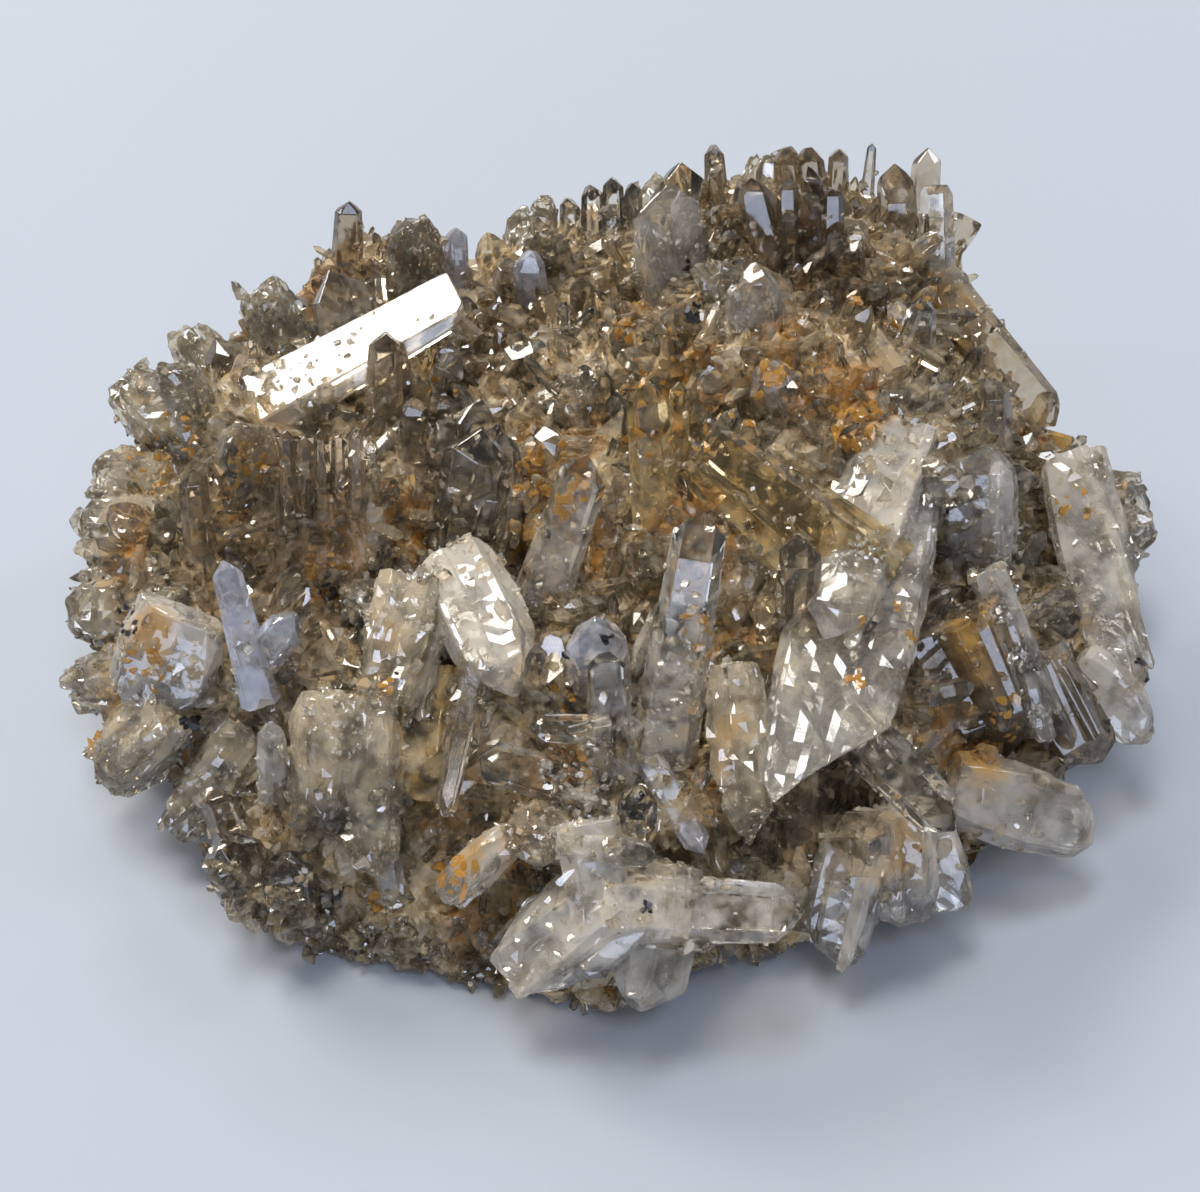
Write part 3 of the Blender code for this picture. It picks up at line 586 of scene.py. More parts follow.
NORTH_EDGE = (
    Crystal("north_spike", SMOKY, (-36, 48.5, 28), (-33.5, 44, 44), 4.2, .6),
    Crystal("brown_block", PALE, (-26.5, 42.5, 27), (-25, 45.5, 40.5), 8, .8, 10, BLUNT),
    Crystal("blue_smoky", LILAC, (-21, 46.5, 26), (-20, 46, 38), 4, .9, 20),
    Crystal("blunt_upright", PALE, (-9.5, 47, 29), (-8, 44, 44), 4.5, .9, 0, BLUNT),
    Crystal("dark_valley", SMOKY, (-13.5, 41.5, 27), (-13, 41, 36), 4.5, .9, 0, BLUNT),
    Crystal("lilac_valley", LILAC, (-10.5, 41.5, 29), (-10, 39, 39), 4.5, .9),
    Crystal("smoky_valley", SMOKY, (-3.5, 34, 32), (-3.5, 33, 40), 3.5, .9),
    Crystal("pale_needle", CLEAR, (-7, 28, 32), (-2, 25.5, 41), 1.6),
    Crystal("glass_group_1", CLEAR, (-5, 48, 31), (-5, 46, 42.5), 3.2),
    Crystal("glass_group_2", CLEAR, (-2, 46.5, 32), (-2, 45.5, 45), 3.4, 1, 20),
    Crystal("glass_group_3", CLEAR, (0.8, 46.5, 32), (0.8, 45.5, 46), 3.3),
    Crystal("glass_group_4", CLEAR, (3.4, 46.5, 32), (3.4, 45.5, 45), 3.2, 1, 10),
    Crystal("north_back_a", PALE, (-28, 52, 24), (-29, 56, 31.5), 6.5, .8, 10, BLUNT),
    Crystal("north_back_b", PALE, (-12, 51, 24), (-11, 58, 33), 7, .8, 0, SLANT),
    Crystal("north_back_c", PALE, (6, 52, 27), (7, 58.5, 37), 7.5, .8, 20),
)

EAST_CREST = (
    Crystal("grey_milky", MILKY, (8, 33.5, 36), (7.5, 35, 52), 10, .7, 0, SLANT),
    Crystal("dark_lath", SMOKY, (21, 28.5, 41), (17.5, 34, 54), 4.5, .8),
    Crystal("pink_column_1", SMOKY, (22.5, 28.5, 41), (22, 33, 54), 3.2, 1, 0, BLUNT),
    Crystal("pink_column_2", SMOKY, (25.5, 28, 41), (25, 33.5, 54), 3.2, 1, 10, BLUNT),
    Crystal("pink_column_3", SMOKY, (28.3, 29.5, 40), (27.8, 34, 52), 3.2, 1, 0, BLUNT),
    Crystal("sparkling", MILKY, (18, 17.5, 42), (17, 16.5, 54), 7, .8, 0, BLUNT),
    Crystal("bright_small", CLEAR, (30.5, 30.5, 42), (30, 28.5, 50), 3.5, .9, 0, BLUNT),
    Crystal("crest_a", SMOKY, (15, 52.5, 37), (14, 49, 48), 3.2),
    Crystal("crest_b", SMOKY, (25, 53.5, 38), (23.5, 49.5, 46.5), 3.8, .9, 0, BLUNT),
    Crystal("crest_c", SMOKY, (28, 51.5, 38), (26.5, 48, 47.5), 4, .9, 0, BLUNT),
    Crystal("crest_d", SMOKY, (31.5, 52, 33), (30.5, 50, 46.5), 3.2),
    Crystal("crest_needle", CLEAR, (35.3, 52, 34), (34.5, 48, 48.5), 1.8, clean=True),
    Crystal("crest_e", SMOKY, (43, 49, 28), (43, 53.5, 44), 4.5, .9),
    Crystal("crest_left", CLEAR, (9, 46, 36), (10, 47, 47), 6, .8, 20, SLANT),
    Crystal("crest_back", PALE, (22, 53, 33), (23, 58.5, 40), 8, .8, 10, BLUNT),
    Crystal("east_hex", SMOKY, (43, 48, 33), (50, 47, 36), 6, .9),
    Crystal("clear_column", CLEAR, (43.5, 37, 32), (42.5, 43, 46), 5, .9, 0, BLUNT),
    Crystal("column_left", SMOKY, (38, 38, 36), (37, 43, 49), 5.5, .9, 0, SLANT),
    Crystal("twin_glass_1", CLEAR, (36, 19, 34), (34, 17, 48), 3.2, clean=True),
    Crystal("twin_glass_2", CLEAR, (39.3, 20, 33), (37.6, 18, 47), 3.2, clean=True),
    Crystal("east_edge_long", SMOKY, (44, 34, 34), (57, 19.5, 25), 7, .7, clean=True),
    Crystal("east_clear", CLEAR, (47.5, 11.5, 28), (46, 13.5, 38), 5, .9, 0, BLUNT),
    Crystal("east_brown", HONEY, (54, 11.5, 21), (54.5, 13, 28), 4.5, .9, 0, BLUNT),
)

CENTRE = (
    Crystal("dome_point", CLEAR, (-18, -2.5, 29), (-15, -1.5, 46), 8.5, .7),
    Crystal("dome_point_back", CLEAR, (-13, 1, 28), (-13, 3.5, 41), 4.5, .8),
    Crystal("lying_smoky", SMOKY, (-11, 8, 32), (-2.5, 6.5, 35), 4.5, .8),
    Crystal("glass_leaning", CLEAR, (-10, -10.5, 24), (-3, -5, 45), 6.5, .8, clean=True),
    Crystal("gold_column", HONEY, (5, -4, 32), (3.5, 1, 51), 5.5, .9, clean=True),
    Crystal("gold_column_small", HONEY, (7.5, 2.5, 38), (7.5, 2.5, 49), 2.6),
    Crystal("lying_gold", HONEY, (28, -14.5, 37), (10, -3.5, 46), 7.5, .7, 0, BLUNT),
    Crystal("lying_gold_low", HONEY, (18, -11, 36), (9, -3.5, 42), 5, .8, 0, BLUNT),
    Crystal("glass_column", CLEAR, (5, -28.5, 25), (9, -18, 49), 6.5, .8, 0, SLANT, clean=True),
    Crystal("glass_column_side", CLEAR, (2.5, -21, 26), (6.5, -20, 38), 4.5, .8),
    Crystal("shell_facet", SMOKY, (20, -18.5, 33), (19.5, -18.5, 45), 5, .7, 0, SLANT),
    Crystal("blue_facet", LILAC, (-2, -20.5, 22), (-2.5, -24.5, 38), 7, .8, 0, SLANT, clean=True),
    Crystal("tooth", PALE, (-23.5, -15.5, 33), (-26, -27, 27), 8.5, .6, 0, SLANT),
    Crystal("viewer_point", MILKY, (-18, -12, 33), (-11.5, -26.5, 30), 10, .7),
    Crystal("cross_rod", CLEAR, (-23, -22, 23), (-17, -21.5, 25), 2.6, 1, 0, BLUNT),
    Crystal("slab_glass", CLEAR, (-1, -32, 24), (-1.5, -27, 37), 5, .6, 0, BLUNT),
    Crystal("little_glass", CLEAR, (-4, -31, 29), (-10, -30.5, 29), 3.2, .9),
)

EAST_SLOPE = (
    Crystal("milky_blade", MILKY, (31.5, -3, 36), (17.5, -45, 28), 14, .38, 0, CHISEL, clean=True),
    Crystal("milky_neck", MILKY, (32.5, 2, 39), (22.5, -25.5, 37), 9, .6, 0, SLANT),
    Crystal("east_block", MILKY, (43.5, -2.5, 24), (42.5, 2.5, 38), 10.5, .7, 0, BLUNT),
    Crystal("east_milky", MILKY, (57, 8, 27), (61, -17.5, 15), 8.5, .6, 0, BLUNT),
    Crystal("east_rim_mass", PALE, (58, 7, 20), (69.5, 13, 15), 12.5, .6, 0, BLUNT),
    Crystal("smoky_slope", SMOKY, (38.5, -18, 27), (45.5, -27, 14), 13, .5, 0, SLANT),
    Crystal("greenish_slope", MILKY, (40, -31, 15.5), (55, -31.5, 8), 10, .6, 0, BLUNT),
    Crystal("sparkle_ridge", MILKY, (43, -13.5, 30), (49.5, -25, 17), 4.5, .8, 0, BLUNT),
    Crystal("east_low_a", SMOKY, (50, -18, 20), (57.5, -25, 11), 8.5, .6, 0, SLANT),
    Crystal("east_low_b", MILKY, (57, -15, 16), (63.5, -20.5, 11), 7, .7, 0, BLUNT),
    Crystal("glass_front_right", CLEAR, (27, -31, 26), (35.5, -41.5, 24), 6.2, .9, clean=True),
    Crystal("smoky_hexagon", SMOKY, (28, -33.5, 9), (26, -43.5, 24.5), 8.8, .95, 8, clean=True),
    Crystal("south_east_a", MILKY, (26, -40, 15), (23.5, -46, 5), 8, .8, 0, BLUNT),
    Crystal("south_east_b", MILKY, (30.5, -38, 18), (32, -44.5, 7), 8.5, .8, 0, SLANT),
    Crystal("south_east_c", MILKY, (34.5, -35, 14), (38, -41.5, 7), 6.5, .8, 0, BLUNT),
    Crystal("step_smoky_a", SMOKY, (20.5, -31, 17), (20, -38.5, 12), 6, .8, 0, BLUNT),
    Crystal("step_smoky_b", SMOKY, (21.5, -35, 13), (20, -43, 6), 5, .8, 0, BLUNT),
)

FRONT_SLOPE = (
    Crystal("pale_spike", PALE, (12.5, -28.5, 32), (13.5, -42, 23), 6.8, .55),
    Crystal("lying_glass", CLEAR, (0.5, -47, 19), (19, -48, 18), 7.5, .9),
    Crystal("front_milky", MILKY, (4, -44, 17), (1.5, -55, 8), 8.5, .7, 0, SLANT),
    Crystal("front_block", MILKY, (-2, -46, 18), (-13.5, -49, 8), 10.5, .8, 0, BLUNT),
    Crystal("small_clear", CLEAR, (-4, -43.5, 25), (3.5, -45.5, 26), 3.2),
    Crystal("sparkle_bent", MILKY, (-3, -43, 24), (-1.5, -50, 17), 6.5, .7, 0, SLANT),
    Crystal("black_cap", CLEAR, (1, -41, 20), (1.5, -41, 31), 4.5, .9, 0, BLUNT),
    Crystal("lilac_spike", LILAC, (4.5, -33, 22), (8.5, -42.5, 22), 3.2, .8),
    Crystal("rounded_block", PALE, (-31, -25, 24), (-31.5, -38.5, 12), 14, .7, 0, SLANT),
    Crystal("clear_block", CLEAR, (-4, -34, 22), (-15.5, -34.5, 29), 5, .8, 0, SLANT),
    Crystal("smoky_rod", SMOKY, (-16.5, -25, 30), (-19.5, -38, 23), 3.2, .9),
    Crystal("amber_plate", HONEY, (-21.5, -23, 26), (-22.5, -35, 21), 7, .4, 0, SLANT),
    Crystal("front_finger", MILKY, (-26.5, -40, 5), (-26.5, -38.5, 17), 3.8, .9),
    Crystal("pale_end", MILKY, (-14.5, -40, 19), (-20.5, -42.5, 14), 5, .8, 0, BLUNT),
    Crystal("front_druse", PALE, (-8, -38, 20), (-10, -43, 25), 8, .8, 20, BLUNT),
)


CRYSTALS = WEST_DOME + WEST_EDGE + NORTH_EDGE + EAST_CREST + CENTRE + EAST_SLOPE + FRONT_SLOPE


@dataclass(frozen=True)
class Sowing:
    """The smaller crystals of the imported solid, sown over the rock with its fixed seed."""

    rock: Rock
    count: int = 70
    width: tuple = (4.0, 7.6)
    length: tuple = (5.0, 8.0)
    apart: float = 5.4
    seed: int = 20

    def normal(self, x: float, y: float) -> Vector:
        """Which way the rock's top faces there."""
        step = 1.5
        slope_x = (self.rock.height(x + step, y) - self.rock.height(x - step, y)) / (2 * step)
        slope_y = (self.rock.height(x, y + step) - self.rock.height(x, y - step)) / (2 * step)
        return Vector((-slope_x, -slope_y, 1)).normalized()

    def crystals(self) -> tuple:
        """Small crystals over the rock, where no named crystal stands yet."""
        rng = random.Random(self.seed)
        taken = [Vector(c.foot).lerp(Vector(c.tip), t).xy for c in CRYSTALS for t in (0.3, 0.8)]
        found = []
        while len(found) < self.count:
            x, y = rng.uniform(-70, 70), rng.uniform(-56, 62)
            rim = self.rock.rim_at(math.atan2(y, x) % math.tau)
            near = any((Vector((x, y)) - t).length < self.apart for t in taken)
            if math.hypot(x, y) >= 0.93 * rim.xy.length or near:
                continue
            taken.append(Vector((x, y)))
            foot = Vector((x, y, self.rock.height(x, y) - 2.0))
            lean = Vector((rng.gauss(0, 0.35), rng.gauss(0, 0.35), rng.uniform(0, 0.3)))
            axis = (self.normal(x, y) + lean).normalized()
            tip = foot + axis * rng.uniform(*self.length)
            width = rng.uniform(*self.width)
            end = rng.choice((POINT, POINT, SLANT, BLUNT))
            turn = rng.uniform(0, 60)
            finish = (PALE, SMOKY, CLEAR, DRUSE)[len(found) % 4]
            name = f"sown_{len(found) + 1:02d}"
            found.append(Crystal(name, finish, tuple(foot), tuple(tip), width, 0.9, turn, end))
        return tuple(found)


@dataclass(frozen=True)
class Shaper:
    """Cuts a crystal out of a block by its own faces, as real quartz is bounded."""

    root: float = 3.0  # how deep a foot is rooted
    taper: float = 0.035  # how much the sides close in over a millimetre of length
    end_face_angle: float = math.radians(51.8)
    side_jitter: float = 0.12
    bevel: float = 0.018  # width of the worn edges, as a share of the crystal's width
    chips: tuple = (3, 9)  # pieces knocked off a clear crystal, and off a cloudy one
    chunk_faces: int = 13
    chunk_reach: tuple = (0.30, 0.52)  # how far a broken piece's faces lie from its middle
    company: tuple = (0.35, 0.55)  # companions for each millimetre of width, and beside a beige one
    chip_depth: tuple = (0.02, 0.09)  # how much of the width each takes
    facet_size: float = 1.25  # longest edge of the facets that a cloudy crystal's faces are broken up into
    step_size: float = 1.6  # how far apart their steps lie
    clean_from: tuple = (0.02, 0.25)  # from where to where along a clean crystal its crust thins out
    front: Vector = field(default_factory=lambda: Vector((-2.0, -153.5, 190.0)))  # what the flat sides face

    @staticmethod
    def cut(block: bmesh.types.BMesh, point: Vector, normal: Vector) -> None:
        """Cut the block with a plane, throw away what lies beyond it, and close the cut."""
        parts = block.verts[:] + block.edges[:] + block.faces[:]
        made = bmesh.ops.bisect_plane(
            block, geom=parts, dist=1e-5, plane_co=point, plane_no=normal, clear_outer=True
        )
        edges = [e for e in made["geom_cut"] if isinstance(e, bmesh.types.BMEdge)]
        if edges:
            bmesh.ops.contextual_create(block, geom=edges)

    def end_planes(self, end: End, length: float, width: float, rng: random.Random) -> Iterator[tuple]:
        """The planes that end a crystal.

        Args:
            end: How the crystal ends.
            length: Its length.
            width: Its width.
            rng: The crystal's own chance.

        Yields:
            A point and a normal in the crystal's own frame.
        """
        for k in (0, 2, 4, 1, 3, 5):
            angle = math.radians(90 + 60 * k)
            share = rng.uniform(*END_REACH[end]) + (SMALLER_FACE if k % 2 else 0.0)
            share = OVERGROWN.get(end, {}).get(k, share)
            lean = math.sin(self.end_face_angle)
            normal = Vector((math.cos(angle) * lean, math.sin(angle) * lean, math.cos(self.end_face_angle)))
            yield Vector((0, 0, length + share * width)), normal
        if end is BLUNT:
            lean, side = rng.uniform(*BREAK_LEAN), rng.uniform(0, math.tau)
            normal = Vector((lean * math.cos(side), lean * math.sin(side), 1))
            yield Vector((0, 0, length - BREAK_DEPTH * width)), normal

    def block(self, name: str, length: float, width: float, depth: float, end: End) -> bmesh.types.BMesh:
        """A crystal as a closed mesh in its own frame, standing on the origin with its axis up.

        Args:
            name: The crystal's name, which seeds its chance.
            length: Its length with the root.
            width: Its width across the corners.
            depth: Its thickness as a share of a regular hexagon's.
            end: How it ends.

        Returns:
            The mesh, in the unit of its sizes.
        """
        rng = random.Random(name)
        block = bmesh.new()
        bmesh.ops.create_cube(block, size=1.0)
        bmesh.ops.scale(block, vec=(4 * width, 4 * width, 2 * length), verts=block.verts)
        bmesh.ops.translate(block, vec=(0, 0, length), verts=block.verts)
        regular = 0.5 * width * math.cos(math.radians(30))
        for k in range(6):
            angle = math.radians(90 + 60 * k)
            flat = depth if k in (0, 3) else 1.0
            away = regular * flat * rng.uniform(1 - self.side_jitter, 1 + self.side_jitter)
            normal = Vector((math.cos(angle), math.sin(angle), self.taper))
            self.cut(block, normal * away + Vector((0, 0, 0.5 * length)), normal)
        for point, normal in self.end_planes(end, length, width, rng):
            self.cut(block, point, normal)
        bmesh.ops.remove_doubles(block, verts=block.verts[:], dist=0.004 * width)
        bmesh.ops.recalc_face_normals(block, faces=block.faces[:])
        return block

    def chunk(self, name: str) -> bmesh.types.BMesh:
        """A broken piece of crystal about one unit across, with flat faces that lean every way.

        Args:
            name: What seeds its chance.

        Returns:
            The mesh, round the origin.
        """
        rng = random.Random(name)
        block = bmesh.new()
        bmesh.ops.create_cube(block, size=2.0)
        for _ in range(self.chunk_faces):
            normal = Vector((rng.gauss(0, 1), rng.gauss(0, 1), rng.gauss(0, 1))).normalized()
            self.cut(block, normal * rng.uniform(*self.chunk_reach), normal)
        bmesh.ops.remove_doubles(block, verts=block.verts[:], dist=0.02)
        bmesh.ops.recalc_face_normals(block, faces=block.faces[:])
        return block

    def placed(self, crystal: Crystal) -> Matrix:
        """The matrix that stands a crystal's mesh in its place, in plan coordinates."""
        foot, tip = Vector(crystal.foot), Vector(crystal.tip)
        axis = (tip - foot).normalized()
        towards = self.front - (foot + tip) / 2
        towards -= axis * towards.dot(axis)
        if towards.length < 20.0:
            towards = Vector((0, 0, 1)) - axis * axis.z
        front = towards.normalized()
        turned = Matrix((front.cross(axis), front, axis)).transposed().to_4x4()
        spin = Matrix.Rotation(math.radians(crystal.turn), 4, "Z")
        return Matrix.Translation(foot - axis * self.root) @ turned @ spin

    def chip(self, block: bmesh.types.BMesh, width: float, count: int, rng: random.Random) -> None:
        """Knock small pieces off the corners and edges.

        Args:
            block: The crystal, in its own frame.
            width: Its width.
            count: How many pieces.
            rng: The crystal's own chance.
        """
        for _ in range(count):
            normal = Vector((rng.gauss(0, 1), rng.gauss(0, 1), rng.gauss(0.2, 0.6))).normalized()
            reach = max(normal.dot(vert.co) for vert in block.verts)
            self.cut(block, normal * (reach - rng.uniform(*self.chip_depth) * width), normal)

    @staticmethod
    def ordered(block: bmesh.types.BMesh) -> None:
        """Make the faces again in the order of their corners, so that each run gives the same mesh."""
        block.verts.index_update()
        rings = []
        for face in block.faces:
            ids = [vert.index for vert in face.verts]
            first = ids.index(min(ids))
            rings.append(tuple(ids[first:] + ids[:first]))
        for edge in block.edges[:]:
            block.edges.remove(edge)
        verts = block.verts[:]
        for place, ring in enumerate(sorted(rings)):
            block.faces.new([verts[i] for i in ring]).index = place
        block.faces.sort()
        pairs = sorted(block.edges, key=lambda edge: sorted(vert.index for vert in edge.verts))
        for place, edge in enumerate(pairs):
            edge.index = place
        block.edges.sort()
        block.normal_update()

    def roughen(
        self, block: bmesh.types.BMesh, length: float, width: float, quartz: Quartz, rng: random.Random,
    ) -> None:
        """Thin the ends of a cloudy crystal and break its faces up into small steps and facets.

        Args:
            block: The crystal, in its own frame.
            length: Its length with the root.
            width: Its width.
            quartz: Its finish, which says by how much.
            rng: The crystal's own chance.
        """
        low, high = Vector((-0.6, -0.6, 0)) * width, Vector((0.6 * width, 0.6 * width, length))
        for axis in range(3):
            normal = Vector([float(axis == i) for i in range(3)])
            at = low[axis] + self.facet_size * rng.random()
            while at < high[axis]:
                parts = block.verts[:] + block.edges[:] + block.faces[:]
                bmesh.ops.bisect_plane(block, geom=parts, dist=1e-4, plane_co=normal * at, plane_no=normal)
                at += self.facet_size * rng.uniform(0.8, 1.3)
        self.ordered(block)
        bmesh.ops.triangulate(block, faces=block.faces[:], quad_method="FIXED", ngon_method="EAR_CLIP")
        self.ordered(block)
        swell, start = rng.uniform(*quartz.swell), rng.uniform(0, 90)
        block.normal_update()
        for vert in block.verts:
            along = 2.0 * min(1.0, max(0.0, vert.co.z / length)) - 1.0
            point = vert.co / self.step_size + Vector((start, start, start))
            cell = noise.voronoi(point)[1][0]
            chance = noise.cell_vector(cell * 17.3)
            lean = (point - cell).dot(chance - Vector((0.5, 0.5, 0.5)))
            vert.co.xy *= 1.0 - swell * along * along
            vert.co += vert.normal * quartz.hackle * (2.0 * chance.z - 1.0 + 1.6 * lean)

    def companions(self, crystal: Crystal) -> Iterator[Crystal]:
        """The crystals that grew side by side with a large one, nearly parallel to it and shorter."""
        rng = random.Random(crystal.name + " companions")
        foot, tip = Vector(crystal.foot), Vector(crystal.tip)
        turned = self.placed(crystal).to_3x3()
        cloudy = crystal.finish in (MILKY, PALE)
        company = 0 if crystal.clean else round(crystal.width * self.company[crystal.finish is PALE])
        for i in range(company):
            angle = rng.uniform(0, math.tau)
            reach = rng.uniform(0.25, 0.42 if cloudy else 0.6) * crystal.width
            offset = turned @ Vector((reach * math.cos(angle), crystal.depth * reach * math.sin(angle), 0))
            share = rng.uniform(0.55, 1.0) if cloudy else rng.uniform(0.25, 0.6)
            lean = Vector((rng.gauss(0, 1), rng.gauss(0, 1), rng.gauss(0, 1))) * (0.05 * (tip - foot).length)
            yield Crystal(
                f"{crystal.name}_{i + 1}", crystal.finish, tuple(foot + offset), tuple(foot.lerp(tip, share) + offset + lean),
                crystal.width * (rng.uniform(0.3, 0.55) if cloudy else rng.uniform(0.18, 0.4)),
                max(crystal.depth, 0.6), rng.uniform(0, 60), rng.choice((POINT, SLANT, BLUNT)),
            )

    def grown(self, crystal: Crystal) -> bmesh.types.BMesh:
        """A named crystal in its place, with worn edges and its masks."""
        foot, tip = Vector(crystal.foot), Vector(crystal.tip)
        length = (tip - foot).length + self.root
        block = self.block(crystal.name, length, crystal.width, crystal.depth, crystal.end)
        rng = random.Random(crystal.name + " grown")
        if crystal.width > 2.5 and not crystal.clean:
            self.chip(block, crystal.width, self.chips[crystal.finish in (MILKY, PALE)], rng)
        bmesh.ops.remove_doubles(block, verts=block.verts[:], dist=0.008 * crystal.width)
        bmesh.ops.bevel(
            block, geom=block.edges[:], offset=self.bevel * crystal.width + 0.03, segments=1, affect="EDGES",
            clamp_overlap=True,
        )
        if crystal.finish.value.hackle:
            self.roughen(block, length, crystal.width, crystal.finish.value, rng)
        tone, start = rng.random(), rng.uniform(0, 90)
        bare = self.clean_from if crystal.clean else crystal.finish.value.bare
        layers = {name: block.verts.layers.float.new(name) for name in MASKS}
        for vert in block.verts:
            vert[layers["rise"]] = smooth(vert.co.z, 0.6 * self.root, length)
            vert[layers["growth"]] = start + vert.co.z
            vert[layers["tone"]] = tone
            vert[layers["grow"]] = 1.0 - smooth(vert[layers["rise"]], *bare)
        bmesh.ops.transform(block, matrix=self.placed(crystal), verts=block.verts)
        for vert in block.verts:
            vert[layers["stain"]] = mask_at(STAINS, vert.co.x, vert.co.y)
            vert[layers["smoke"]] = mask_at(SMOKE, vert.co.x, vert.co.y)
        return block


def piece_from(mesh: bmesh.types.BMesh, name: str, material: bpy.types.Material) -> bpy.types.Object:
    """A piece of the cluster from a mesh in plan coordinates, linked to the scene.

    Args:
        mesh: The mesh, which is used up.
        name: The piece's name.
        material: Its finish.

    Returns:
        The object.
    """
    bmesh.ops.translate(mesh, vec=-MIDDLE, verts=mesh.verts)
    bmesh.ops.scale(mesh, vec=(MM, MM, MM), verts=mesh.verts)
    bmesh.ops.triangulate(mesh, faces=mesh.faces[:])
    data = bpy.data.meshes.new(name)
    mesh.to_mesh(data)
    mesh.free()
    data.materials.append(material)
    made = bpy.data.objects.new(name, data)
    bpy.context.scene.collection.objects.link(made)
    return made


def settle(piece: bpy.types.Object) -> None:
    """Make a piece ride on the cluster's body, hide the solid that it stands for, and log its triangles."""
    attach(piece, BODY)
    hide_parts(NODE)
    LOG.info("%s: %d triangles", piece.name, len(piece.data.loop_triangles) or len(piece.data.polygons))


@dataclass(frozen=True)
class NamedCrystals:
    """The large crystals of one finish, joined in one piece."""

    finish: Finish
    crystals: tuple
    shaper: Shaper

    def build(self) -> bpy.types.Object:
        """Grow each crystal and join them."""
        joined = bmesh.new()
        for name in MASKS:
            joined.verts.layers.float.new(name)
        data = bpy.data.meshes.new("one_crystal")
        for crystal in [c for named in self.crystals for c in (named, *self.shaper.companions(named))]:
            block = self.shaper.grown(crystal)
            block.to_mesh(data)
            block.free()
            joined.from_mesh(data)
        bpy.data.meshes.remove(data)
        return piece_from(joined, f"{self.finish.value.name}_crystals", self.finish.value.material())


class Mould(Enum):
    """What a druse is made of."""

    PRISM = "six-sided crystals with end faces"
    CHUNK = "broken pieces and stubs"


PRISM, CHUNK = Mould


